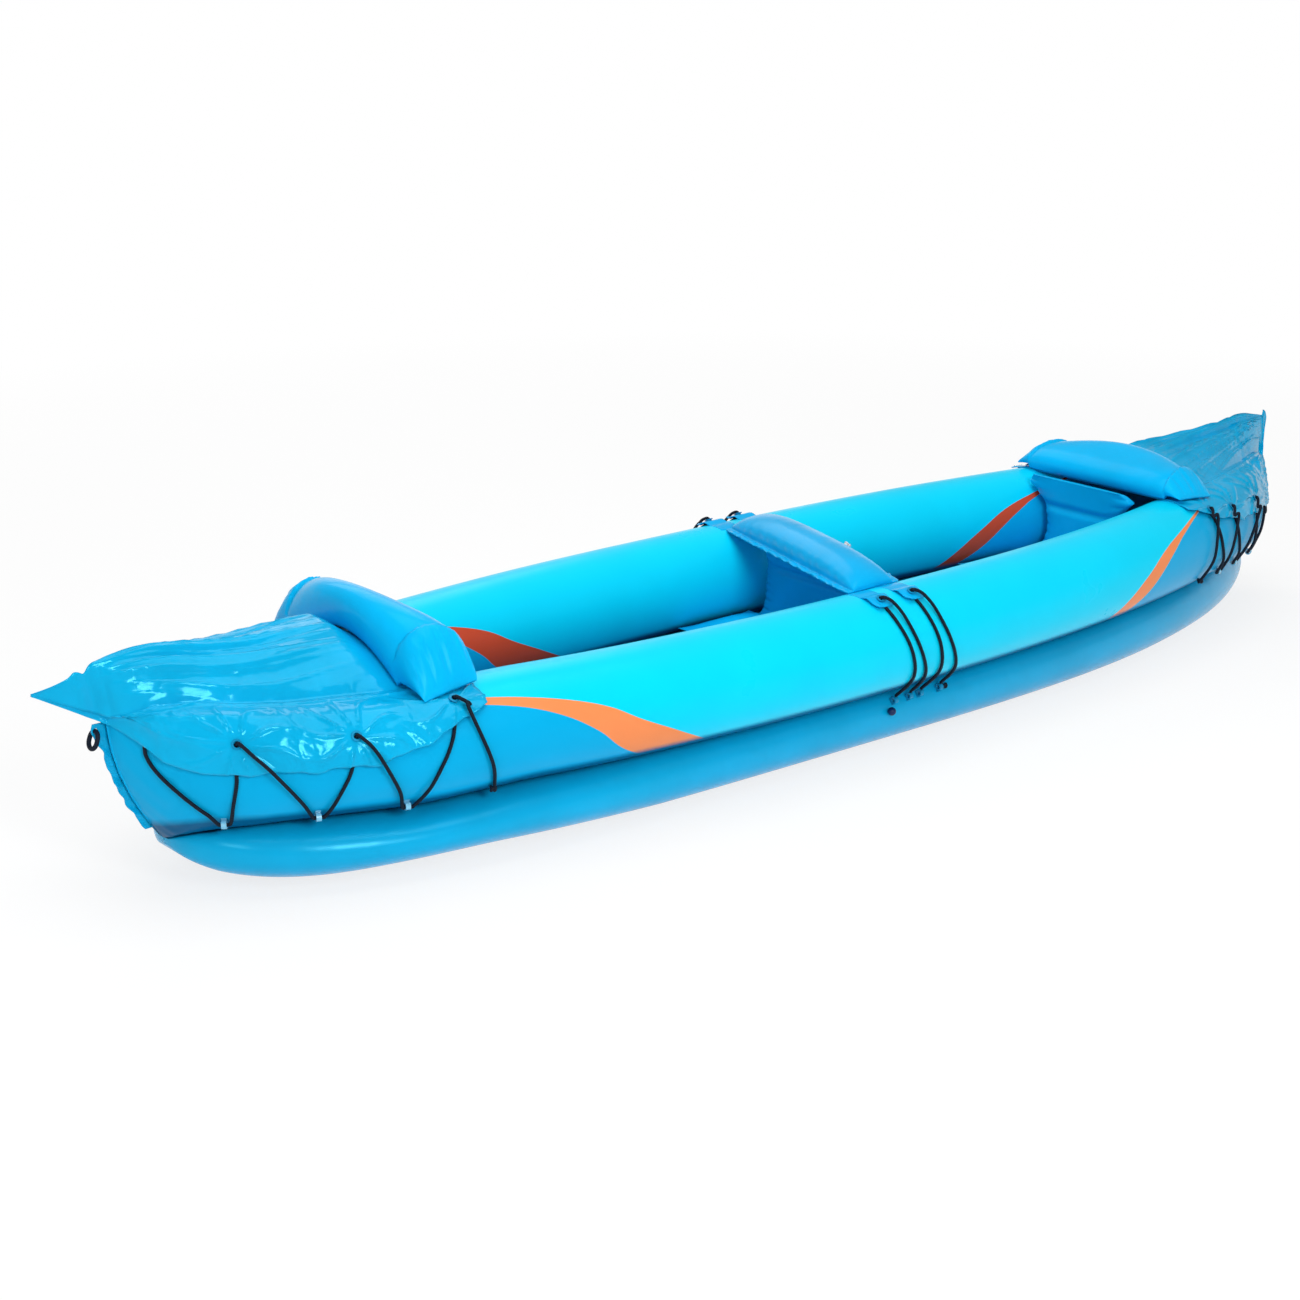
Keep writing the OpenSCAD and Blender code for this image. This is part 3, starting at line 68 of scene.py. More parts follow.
def plan_curve(x, bow, stern, bow_curve, stern_curve):
    """Superellipse in plan: one less u to the first exponent, to the power one over the second."""
    u = share(x, bow, stern)
    first = np.where(x < 0, stern_curve[0], bow_curve[0])
    second = np.where(x < 0, stern_curve[1], bow_curve[1])
    return np.maximum(0, 1 - u**first) ** (1 / second)


def hull_lift(x):
    """Rise of the underside: a cubic beyond the level run amidships."""
    run = np.maximum(0, np.abs(x) - level_run)
    full = np.where(x < 0, stern_reach, bow_reach) - level_run
    return np.where(x < 0, stern_lift, bow_lift) * (run / full) ** 3


def floor_rounding(x):
    """How far x lies into the chamber's rounded last fifth at either end, from 0 to just under 1."""
    return np.clip((share(x, floor_bow_reach, floor_stern_reach) - 0.8) / 0.2, 0, 0.995)


def floor_half(x):
    """Half height of the bottom chamber, a quarter ellipse over its last fifth."""
    return floor_height / 2 * np.sqrt(1 - floor_rounding(x) ** 2)


def floor_mid(x):
    """Height of the chamber's middle: half its height over the underside's rise."""
    return floor_height / 2 + hull_lift(x)


def floor_width(x):
    """Half width of the chamber: a superellipse in plan, never less than 0.7 of its half height."""
    beam = floor_half_beam * plan_curve(x, floor_bow_reach, floor_stern_reach, (4, 2), (3, 1.3))
    return np.maximum(beam, floor_half(x) * 0.7)


def floor_vee(x):
    """Rise of the outer ribs above the middle ones, fading towards the ends."""
    fade = ease((1.02 - share(x, floor_bow_reach, floor_stern_reach)) / 0.4)
    return mix(stern_vee, bow_vee, np.clip(x / 1.8 + 0.5, 0, 1)) * (1 - floor_rounding(x) ** 2) * fade


def floor_sag(x):
    """Drop of the chamber's top: a smooth step towards the bow, which fades over the rounded end."""
    return bow_sag * ease((x - 0.8) / 0.28) * (1 - floor_rounding(x) ** 2)


def edge_half(x):
    """Half height of the chamber's round edge: the chamber's own less half the vee and half the sag."""
    return floor_half(x) - floor_vee(x) / 2 - floor_sag(x) / 2


def edge_mid(x):
    """Middle height of the chamber's round edge: up by half the vee and down by half the sag."""
    return floor_mid(x) + floor_vee(x) / 2 - floor_sag(x) / 2


def tube_plan(x):
    """Plan curve of the tubes, a superellipse that is 1 amidships and 0 at both stems."""
    return plan_curve(x, bow_reach, stern_reach, (2.2, 1.3), (2.5, 1.1))


def tube_a(x):
    """Half width of a tube: full until its plan curve falls below 0.55, then a sine to the stem."""
    return np.maximum(tube_end, tube_radius * np.sin(np.pi / 2 * np.minimum(1, tube_plan(x) / 0.55)))


def tube_y(x):
    """Distance of a tube's middle from the middle plane: the spread times the plan curve, or at the stems its
    half width and a gap."""
    return np.maximum(tube_spread * tube_plan(x), tube_a(x) + stem_gap)


def floor_flat(x):
    """Half width of the bottom chamber's flat, out to the middle of its round edge."""
    width = floor_width(x)
    return np.minimum(width - np.minimum(edge_half(x), width * 0.9), tube_y(x))


def tube_b(x):
    """Half height of a tube, which grows from its radius to the stem's half height."""
    close = ease((share(x, bow_reach, stern_reach) - 0.8) / 0.2)
    return mix(tube_radius, np.where(x < 0, stern_stem_half, bow_stem_half), close)


def tube_bottom(x):
    """Underside of a tube: it rolls on the chamber's round edge, and droops past the chamber's end."""
    h = np.clip(x, 0.09 - floor_stern_reach, floor_bow_reach - 0.09)
    touch = tube_a(h) + edge_half(h) + seam_gap
    aside = tube_y(h) - floor_flat(h)
    low = edge_mid(h) + np.sqrt(np.maximum(touch**2 - aside**2, (0.6 * touch) ** 2)) - tube_a(h)
    full = np.abs(np.where(x < 0, -stern_reach, bow_reach) - h)
    return low - np.where(x < 0, stern_droop, bow_droop) * (np.abs(x - h) / full) ** 2


def tube_z(x):
    """Height of a tube's middle: its underside plus its half height."""
    return tube_bottom(x) + tube_b(x)


def tube_top(x):
    """Height of a tube's top: its middle plus its half height."""
    return tube_z(x) + tube_b(x)


def as_points(*parts):
    """Arrays of coordinates spread to one shape and set side by side."""
    return np.stack(np.broadcast_arrays(*parts), axis=-1)


def leaned(x, y, z):
    """Leans points back under the stem: x less the lean times the squared drop below the tube top."""
    drop = tube_top(x) - z
    lean = np.where(x < 0, -stern_rake, bow_rake) * share(x, bow_reach, stern_reach) ** 16
    return as_points(x - lean * drop * np.abs(drop) / (2 * tube_b(x)), y, z)


def tube_pt(x, angle, off=0.0):
    """Point of the port tube at an angle in degrees above its outer side, off the skin by a distance."""
    t = np.radians(angle)
    y = tube_y(x) + (tube_a(x) + off) * np.cos(t)
    return leaned(x, y, tube_z(x) + (tube_b(x) + off) * np.sin(t))


def end_spaced(low, high, count):
    """Places from low to high, closer together towards both ends, as a sine of even steps."""
    return mix(low, high, 0.5 + 0.5 * np.sin(np.linspace(-np.pi / 2, np.pi / 2, count)))


def normals_of(grid):
    """Unit normals of a grid of points, the cross product of its two directions."""
    along = np.gradient(grid, axis=0)
    across = np.gradient(grid, axis=1)
    n = np.cross(along, across)
    return n / np.maximum(np.linalg.norm(n, axis=-1, keepdims=True), 1e-12)


def grid_quads(rows, cols, around):
    """Corner numbers of the quads of a grid, row by row, joined round the columns where asked."""
    i, j = np.meshgrid(np.arange(rows - 1), np.arange(cols if around else cols - 1), indexing="ij")
    k = (j + 1) % cols
    corners = [i * cols + j, (i + 1) * cols + j, (i + 1) * cols + k, i * cols + k]
    return np.stack(corners, axis=-1).reshape(-1, 4)


def put_mesh(name, points, faces, material, body, uv=None):
    """Smooth mesh object from an array of points and lists of corners, with an optional UV per corner."""
    mesh = bpy.data.meshes.new(name)
    mesh.from_pydata(points.reshape(-1, 3).tolist(), [], [list(f) for f in faces])
    mesh.polygons.foreach_set("use_smooth", np.ones(len(mesh.polygons), dtype=bool))
    if uv is not None:
        mesh.uv_layers.new(name="skin").data.foreach_set("uv", np.asarray(uv, dtype=np.float32).ravel())
    mesh.materials.append(material)
    mesh.update()
    piece = bpy.data.objects.new(name, mesh)
    bpy.context.collection.objects.link(piece)
    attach(piece, body)
    return piece


def put_tube(name, sections, material, body, uv=None):
    """Closed solid round a row of sections, with a flat cap at each end. uv holds one more column than
    the sections have points, so that it runs on past the joint."""
    rows, cols = sections.shape[:2]
    quads = grid_quads(rows, cols, True)
    first = np.arange(cols)
    caps = [first.tolist(), (first[::-1] + (rows - 1) * cols).tolist()]
    corner_uv = None
    if uv is not None:
        i, j = np.divmod(np.arange((rows - 1) * cols), cols)
        corners = np.stack([uv[i, j], uv[i + 1, j], uv[i + 1, j + 1], uv[i, j + 1]], axis=1).reshape(-1, 2)
        corner_uv = np.concatenate([corners, uv[0, first], uv[-1, first[::-1]]])
    return put_mesh(name, sections, quads.tolist() + caps, material, body, corner_uv)


def new_material(name):
    """New material with its node tree and Principled shader."""
    material = bpy.data.materials.new(name)
    material.use_nodes = True
    tree = material.node_tree
    return material, tree, tree.nodes["Principled BSDF"]


def wire(tree, node, inputs):
    """Sets a node's inputs, each to a value or to another node's output."""
    for key, value in inputs.items():
        if isinstance(value, bpy.types.NodeSocket):
            tree.links.new(value, node.inputs[key])
        else:
            node.inputs[key].default_value = value


def add_node(tree, kind, inputs=None, **settings):
    """New node with its settings and then its inputs."""
    node = tree.nodes.new(kind)
    for key, value in settings.items():
        setattr(node, key, value)
    wire(tree, node, inputs or {})
    return node


def calc(tree, operation, *inputs):
    """Output of a Math node over values and other nodes' outputs."""
    return add_node(tree, "ShaderNodeMath", dict(enumerate(inputs)), operation=operation).outputs["Value"]


def rgba(colour):
    """A set colour with full alpha, or a node's colour output as it is."""
    return (*colour, 1) if isinstance(colour, tuple) else colour


def new_group(name, inputs, outputs):
    """Empty shader node group with named sockets, and its input and output nodes."""
    group = bpy.data.node_groups.new(name, "ShaderNodeTree")
    for way, labels in (("INPUT", inputs), ("OUTPUT", outputs)):
        for label in labels:
            kind = "NodeSocketColor" if label == "Colour" else "NodeSocketFloat"
            group.interface.new_socket(label, in_out=way, socket_type=kind)
    return group, group.nodes.new("NodeGroupInput"), group.nodes.new("NodeGroupOutput")


def film_group():
    """Shared look of PVC film: a cloudy tint, slow waves in the skin and roughness that follows the tint."""
    group, start, end = new_group(
        "film_skin", ("Colour", "Cloud", "Gloss"), ("Colour", "Roughness", "Height")
    )
    given = start.outputs
    place = add_node(group, "ShaderNodeTexCoord").outputs["Object"]
    clouds = add_node(group, "ShaderNodeTexNoise", {"Vector": place, "Scale": 7, "Detail": 4}).outputs["Fac"]
    waves = add_node(group, "ShaderNodeTexNoise", {"Vector": place, "Scale": 26, "Detail": 1}).outputs["Fac"]
    darkest = calc(group, "SUBTRACT", 1, given["Cloud"])
    shades = {"Value": clouds, "From Min": 0.3, "From Max": 0.7, "To Min": 1, "To Max": darkest}
    shade = add_node(group, "ShaderNodeMapRange", shades).outputs["Result"]
    scaled = {"Vector": given["Colour"], "Scale": shade}
    tint = add_node(group, "ShaderNodeVectorMath", scaled, operation="SCALE")
    rough = calc(group, "MULTIPLY_ADD", clouds, 0.16, given["Gloss"])
    wire(group, end, {"Colour": tint.outputs["Vector"], "Roughness": rough, "Height": waves})
    return group


def crease_group():
    """Height of creased film: the sharp crests of a ridged noise, at a scale of the user's choice."""
    group, start, end = new_group("creased_film", ("Scale",), ("Height",))
    place = add_node(group, "ShaderNodeTexCoord").outputs["Object"]
    looks = {"Vector": place, "Scale": start.outputs["Scale"], "Detail": 2, "Distortion": 0.6}
    crests = add_node(group, "ShaderNodeTexNoise", looks, noise_type="RIDGED_MULTIFRACTAL")
    wire(group, end, {"Height": crests.outputs["Fac"]})
    return group


film_skin, creased_film = film_group(), crease_group()
film_glint = (0.2, 0.85, 1, 1)


def dress_film(
    tree, shader, colour, gloss, cloud=0.12, bump=0.0003, shine=0.25, crease=None, glint=film_glint
):
    """Feeds the film group into a shader, with a set colour or a node's colour output, and adds creases of a
    given scale and depth where the film is loose. The glint tints its highlights."""
    looks = {"Colour": rgba(colour), "Cloud": cloud, "Gloss": gloss}
    skin = add_node(tree, "ShaderNodeGroup", looks, node_tree=film_skin).outputs
    relief = {"Distance": bump, "Height": skin["Height"]}
    if crease:
        folds = add_node(tree, "ShaderNodeGroup", {"Scale": crease[0]}, node_tree=creased_film)
        lifted = add_node(tree, "ShaderNodeBump", {"Distance": crease[1], "Height": folds.outputs["Height"]})
        relief["Normal"] = lifted.outputs["Normal"]
    raised = add_node(tree, "ShaderNodeBump", relief).outputs["Normal"]
    wire(tree, shader, {"Base Color": skin["Colour"], "Roughness": skin["Roughness"], "Normal": raised})
    wire(tree, shader, {"Specular IOR Level": shine, "Specular Tint": glint})


hole_sides, hole_overshoot = 32, 0.02


def drill(piece, places, radius, depth):
    """Round holes cut into a piece: each is a cylinder at a place, along a direction, to a depth."""
    turn = np.linspace(0, 2 * np.pi, hole_sides + 1)[:-1]
    points, faces = [], []
    for place, out in places:
        out = np.asarray(out) / np.linalg.norm(out)
        across = np.cross(out, (0.3, 0.5, 0.9))
        across = across / np.linalg.norm(across)
        ring = radius * (np.cos(turn)[:, None] * across + np.sin(turn)[:, None] * np.cross(out, across))
        near = np.arange(hole_sides) + len(points) * 2 * hole_sides
        points.append(np.concatenate([place + ring - out * depth, place + ring + out * hole_overshoot]))
        ahead = np.roll(near, -1)
        sides = np.stack([near, ahead, ahead + hole_sides, near + hole_sides], axis=1)
        faces += sides.tolist() + [near[::-1].tolist(), (near + hole_sides).tolist()]
    mesh = bpy.data.meshes.new("cutter")
    mesh.from_pydata(np.concatenate(points).tolist(), [], faces)
    cutter = bpy.data.objects.new("cutter", mesh)
    bpy.context.collection.objects.link(cutter)
    cut = piece.modifiers.new("holes", "BOOLEAN")
    cut.operation = "DIFFERENCE"
    cut.solver = "MANIFOLD"
    cut.object = cutter
    with bpy.context.temp_override(object=piece, active_object=piece, selected_objects=[piece]):
        bpy.ops.object.modifier_apply(modifier=cut.name)
    bpy.data.objects.remove(cutter)
    bpy.data.meshes.remove(mesh)


def outward(surface, x, angle):
    """Direction off a surface of place and angle, from the cross product of its two slopes."""
    n = np.cross(
        surface(np.float64(x), angle + 2) - surface(np.float64(x), angle - 2),
        surface(np.float64(x + 0.004), angle) - surface(np.float64(x - 0.004), angle),
    )
    return n / np.linalg.norm(n)


light_blue, end_blue = (0.002, 0.66, 0.93), (0.002, 0.4, 0.74)
# The inner orange is the stripe's orange painted darker, as painted shade on the tubes' inner faces
stripe_orange, inner_shade_orange, seam_shade_navy = (0.9, 0.27, 0.09), (0.62, 0.075, 0.03), (0.001, 0.1, 0.24)
uv_start, uv_span, stripe_blur = -1.7, 3.4, 0.0003
# Heights on the tube, as shares of its half turn, between which the navy painted shade at the tube's foot
# fades out
seam_shade_clear, seam_shade_full = 0.28, 0.215
# Stripe edges as [angle on the tube, place along the hull], from the keel up to the shoulder
bow_stripe_aft = [
    (-90, 0.40), (-50, 0.475), (-24, 0.55), (0, 0.637), (25, 0.727), (45, 0.853), (60, 0.965), (90, 1.2)
]
bow_stripe_fore = [
    (-90, 0.55), (-60, 0.597), (-27, 0.677), (0, 0.734), (25, 0.815), (42, 0.9), (56, 1.0), (90, 1.28)
]
stern_stripe_fore = [
    (-90, -0.64), (-50, -0.672), (-14, -0.73), (6, -0.785),
    (27, -0.863), (41, -0.95), (60, -1.08), (90, -1.3),
]
stern_stripe_aft = [
    (-90, -0.7), (-50, -0.735), (-16, -0.798), (7, -0.851),
    (20, -0.891), (34, -0.945), (60, -1.1), (90, -1.33),
]


def past_edge(tree, u, v, edge):
    """Mask that is 1 forward of a stripe edge: the hull place less a curve of the angle, sharpened."""
    curve = tree.nodes.new("ShaderNodeFloatCurve")
    points = curve.mapping.curves[0].points
    while len(points) < len(edge):
        points.new(0.5, 0.5)
    for point, (angle, x) in zip(points, edge):
        point.location = ((angle + 90) / 180, (x - uv_start) / uv_span)
    curve.mapping.update()
    wire(tree, curve, {"Value": v})
    ahead = calc(tree, "SUBTRACT", u, curve.outputs["Value"])
    sharp = {"Value": ahead, "From Min": -stripe_blur, "From Max": stripe_blur}
    return add_node(tree, "ShaderNodeMapRange", sharp).outputs["Result"]


def painted_over(tree, mask, under, over):
    """Mix node that shows one colour where the mask is 0 and the other where it is 1."""
    layers = {"Factor": mask, "A": rgba(under), "B": rgba(over)}
    return add_node(tree, "ShaderNodeMix", layers, data_type="RGBA").outputs["Result"]


def skin_parts(tree):
    """The two parts of the skin's UV: along the piece and round it."""
    skin_map = add_node(tree, "ShaderNodeUVMap", uv_map="skin").outputs["UV"]
    parts = add_node(tree, "ShaderNodeSeparateXYZ", {"Vector": skin_map}).outputs
    return parts["X"], parts["Y"]


tube_film, tree, shader = new_material("striped_tube_film")
along_hull, round_tube = skin_parts(tree)
height = calc(tree, "PINGPONG", round_tube, 1)
inside = calc(tree, "GREATER_THAN", round_tube, 1)
# On each tube's inner face the stripe takes a darker, deeper orange as painted shade
stripe = painted_over(tree, inside, stripe_orange, inner_shade_orange)
paint = end_blue
for edge, over in (
    (stern_stripe_aft, stripe),
    (stern_stripe_fore, light_blue),
    (bow_stripe_aft, stripe),
    (bow_stripe_fore, end_blue),
):
    paint = painted_over(tree, past_edge(tree, along_hull, height, edge), paint, over)
# Navy painted shade along the tube's foot, in place of the shade of the crease over the weld
fade = {"Value": height, "From Min": seam_shade_clear, "From Max": seam_shade_full}
seam_shade = add_node(tree, "ShaderNodeMapRange", fade).outputs["Result"]
paint = painted_over(tree, seam_shade, paint, seam_shade_navy)
dress_film(tree, shader, paint, 0.22, cloud=0.05, shine=0.13)

tube_rows, tube_cols = 260, 96
inner_stripe_shift, pucker_depth = 0.1, 0.0012
x = end_spaced(-stern_reach, bow_reach, tube_rows)[:, None]
angle = np.linspace(-90, 270, tube_cols + 1)[None, :]
turn = np.radians(angle)
skin = tube_pt(x, angle)
pucker = ease((share(x, bow_reach, stern_reach) - 0.9) / 0.08) * np.minimum(tube_a(x) / 0.03, 1)
wrinkles = 1 + np.sin(turn * 14 + 9 * np.sin(40 * x))
skin[..., 1] -= pucker_depth * pucker * np.sign(np.cos(turn)) * wrinkles
inner = ease((angle - 90) / 20)
inner_x = x + inner_stripe_shift * inner * ease(x / 0.2)
tube_uv = as_points((inner_x - uv_start) / uv_span, (angle + 90) / 180)
port_skin, starboard_skin = skin[::-1, :-1], skin[:, :-1] * (1, -1, 1)
port_tube = put_tube("port_tube_skin", port_skin, tube_film, "hull", tube_uv[::-1])
starboard_tube = put_tube("starboard_tube_skin", starboard_skin, tube_film, "hull", tube_uv)
valve_well, valve_well_depth = 0.0283, 0.014
tube_valve_x, tube_valve_angle = bow_reach * 0.64, 172
for tube, side in ((port_tube, 1), (starboard_tube, -1)):
    valve_at = tube_pt(np.float64(tube_valve_x), tube_valve_angle) * (1, side, 1)
    valve_way = outward(tube_pt, tube_valve_x, tube_valve_angle) * (1, side, 1)
    drill(tube, [(valve_at, valve_way)], valve_well, valve_well_depth)
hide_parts("port_side_tube")
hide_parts("starboard_side_tube")

# Bottom chamber: a wide, flat chamber of mid-blue film; its top sheet is painted darker as painted shade
# inside the cockpit. Welded strips inside it draw grooves into its floor and its underside between the ribs,
# and its round outer edges show below the tubes.
hull_blue, floor_shade_blue = (0.002, 0.41, 0.75), (0.002, 0.17, 0.38)
floor_rows, edge_cols, rib_cols = 240, 40, 120


def film_material(name, colour, gloss, **looks):
    """Material of one colour with the look of film."""
    material, tree, shader = new_material(name)
    dress_film(tree, shader, colour, gloss, **looks)
    return material


hull_film = film_material("hull_film", hull_blue, 0.16, bump=0.0008, shine=0.5)
floor_shade_film = film_material("floor_shade_film", floor_shade_blue, 0.2, cloud=0.15, bump=0.0008, shine=0.12)


def chamber_sections(x):
    """Closed sections of the chamber: two half ellipses at the sides, joined above and below by a flat
    whose height follows the absolute sine of the share across, so that it dips at each groove."""
    half, flat, mid = floor_half(x), floor_flat(x), floor_mid(x)
    edge_run = floor_width(x) - flat
    groove = rib_groove * np.minimum(1, flat / 0.25) * half * 2 / floor_height
    t = np.radians(np.linspace(-90, 90, edge_cols))[None, :]
    side_y = flat + edge_run * np.cos(t)
    side_z = edge_mid(x) + edge_half(x) * np.sin(t)
    s = np.linspace(1, -1, rib_cols)[None, 1:-1]
    wave = np.abs(np.sin(np.pi * s / 0.4))
    upper_z = mid + half - floor_sag(x) - groove * (1 - wave)
    lower_z = mid - half + floor_vee(x) * np.maximum(0, np.abs(s) - 0.2) / 0.8 + groove * (1 - np.sqrt(wave))
    y = np.concatenate([side_y, s * flat, -side_y[:, ::-1], -s * flat], axis=1)
    z = np.concatenate([side_z, upper_z, side_z[:, ::-1], lower_z[:, ::-1]], axis=1)
    return as_points(x, y, z)


x = end_spaced(-floor_stern_reach, floor_bow_reach, floor_rows)[:, None]
chamber = put_tube("bottom_chamber_skin", chamber_sections(x)[::-1], hull_film, "hull")
# The top sheet's faces take the darker film: painted shade on the cockpit's floor
chamber.data.materials.append(floor_shade_film)
column = np.arange(len(chamber.data.polygons)) % (2 * (edge_cols + rib_cols - 2))
on_top = (column >= edge_cols - 1) & (column < edge_cols + rib_cols - 2)
on_top[-2:] = False
chamber.data.polygons.foreach_set("material_index", on_top.astype(np.int32))
valve_x = np.float64(bow_reach * 0.46)
floor_valve = np.array([valve_x, 0.6 * floor_flat(valve_x), edge_mid(valve_x) + edge_half(valve_x)])
drill(chamber, [(floor_valve, (0, 0, 1))], valve_well, valve_well_depth)
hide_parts("bottom_chamber")

# Seam strips: narrow flat welds of doubled film that join each tube to the bottom chamber, deep in the
# crease between them. Their dark navy is painted shade of the crease.
weld_shade_navy = (0.001, 0.06, 0.17)
weld_shade_film = film_material("weld_shade_film", weld_shade_navy, 0.3, cloud=0.25, bump=0.0006)


def dress(material, *nodes):
    """Gives CAD nodes a material in place of their own."""
    for node in nodes:
        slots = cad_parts[node].data.materials
        slots.clear()
        slots.append(material)


dress(weld_shade_film, "port_seam_strip", "starboard_seam_strip")

# Decks: thin film over the tube ends, welded along the shoulders, with a loose laced skirt and a folded tip.
# The film is pulled into long folds that fan from the tip to the roll, and it creases round its eyelets.
deck_blue = (0.002, 0.42, 0.75)
bow_deck_start, stern_deck_start = 0.925, 1.005
bow_tip, stern_tip = (1.625, 0.404), (-1.625, 0.413)
deck_film_depth, deck_crown, fold_depth = 0.0025, 0.086, 0.0066
skirt_stand, hem_wave, shoulder_angle, deck_seat = 0.0096, 0.006, 94, 0.0014
# Angle of the shoulder's weld, its height, and the length of skirt over one degree of the tube
deck_weld_angle, deck_weld_height, skirt_degree = 84, 0.0032, 0.00185
# Depths of the film's folds: hanging ones, rays round an eyelet, the fan at the stem, long and fine ones
hanging_depth, ray_depth, stem_fan_depth, long_depth, fine_depth = 0.003, 0.006, 0.005, 0.006, 0.004
# Swelling beside and over the stem, rise in front of the rolls, and how much deeper the stern's folds are
bow_nose, stern_nose, swell_height = 0.02, 0.004, 0.008
bow_draw, stern_draw, stern_folds = 0.02, 0.006, 1.8
deck_rows, skirt_cols, span_cols, beak_rows = 170, 56, 120, 44
# Hem as [share of the deck's length, angle on the tube]
bow_hem = np.array([(0, 46), (0.03, 42), (0.13, 30), (0.25, 16), (0.37, 7), (0.83, 4), (0.91, 16), (1, 55)])
stern_hem = np.array([(0, 59), (0.09, 44), (0.19, 32), (0.32, 20), (0.82, 10), (1, 20)])
eyelet_barrel, eyelet_gap, eyelet_hole_depth = 0.0063, 0.0003, 0.012


def deck_along(x):
    """Share of the deck's length from its inner edge to the stem."""
    astern = (-x - stern_deck_start) / (stern_reach - stern_deck_start)
    return np.where(x < 0, astern, (x - bow_deck_start) / (bow_reach - bow_deck_start))


def deck_place(way, part):
    """Distance from midships at a share of a deck's length."""
    return mix(bow_deck_start, bow_reach, part) if way > 0 else mix(stern_deck_start, stern_reach, part)


bow_eyelets = [(deck_place(1, part), at) for part, at in ((0.735, 30), (0.418, 33), (0.09, 56))]
stern_eyelets = [(deck_place(-1, part), at) for part, at in ((0.12, 47), (0.28, 38), (0.51, 32))]


def hem_angle(x):
    """Angle of the skirt's hem on the tube, straight between the hem's points."""
    a = deck_along(x)
    return np.where(x < 0, np.interp(a, *stern_hem.T), np.interp(a, *bow_hem.T))


def skirt_off(angle):
    """Distance of the skirt from the tube: a smooth step from its seat out to its full stand."""
    return deck_seat + (skirt_stand - deck_seat) * ease((80 - angle) / 26)


def skirt_pt(x, angle, out=0.0):
    """Point of the skirt: the port tube's at the same angle, out by the skirt's distance and more."""
    return tube_pt(x, angle, skirt_off(angle) + out)


def deck_rise(x):
    """Height of the deck's ridge over its shoulders: steep up the bow roll's front, slow at the stern."""
    a = np.clip(deck_along(x), 0, 1)
    at_bow = ease((a + 0.06) / 0.34) - 0.09 * np.sin(np.pi * a)
    return deck_crown * np.where(x < 0, 0.42 * ease((a - 0.03) / 0.24) + 0.58 * a, at_bow)


def deck_span_z(x, v):
    """Height of the film between the shoulders: a parabola over the width plus folds along the hull."""
    a = deck_along(x)
    fold = fold_depth * np.sin(5 * np.pi * v) * (1 - v * v) * ease(a * 4 - 1.2) * ease((1.02 - a) * 4)
    return skirt_pt(x, shoulder_angle)[..., 2] + deck_rise(x) * (1 - v * v) + fold


def ridge(v):
    """Sharp crest at each whole number of v and a round valley between, from 0 to 1."""
    return 1 - np.abs(np.sin(np.pi * v))


def crinkle(u, v, seed):
    """Sum of sines of warped u and v with seeded phases, about -1 to 1."""
    rng = np.random.default_rng(seed)
    total = 0
    for octave in range(4):
        a, b, c, d = rng.uniform(0, 2 * np.pi, 4)
        f = 1.9**octave
        first = np.sin(f * u + a + 1.1 * np.sin(f * 0.7 * v + b))
        second = np.sin(f * 0.8 * v + c + 0.9 * np.sin(f * 0.6 * u + d))
        total = total + first * second / 1.55**octave
    return total / 1.6


def hanging_folds(u, v, seed):
    """Sharp folds of finite length: crests of upright and slanted waves, each faded by a slow wave."""
    rng = np.random.default_rng(seed)
    total = 0
    for count, slant in ((31, 0.22), (45, -0.3), (23, 0.65), (37, -0.08), (17, -1.1)):
        a, b, c = rng.uniform(0, 2 * np.pi, 3)
        crest = ridge(count * (u + slant * v) + 0.14 * np.sin(45 * v + a) + b) ** 4
        total = total + crest * np.clip(0.2 + np.sin(29 * u - 37 * slant * v + c), 0, 1)
    return total


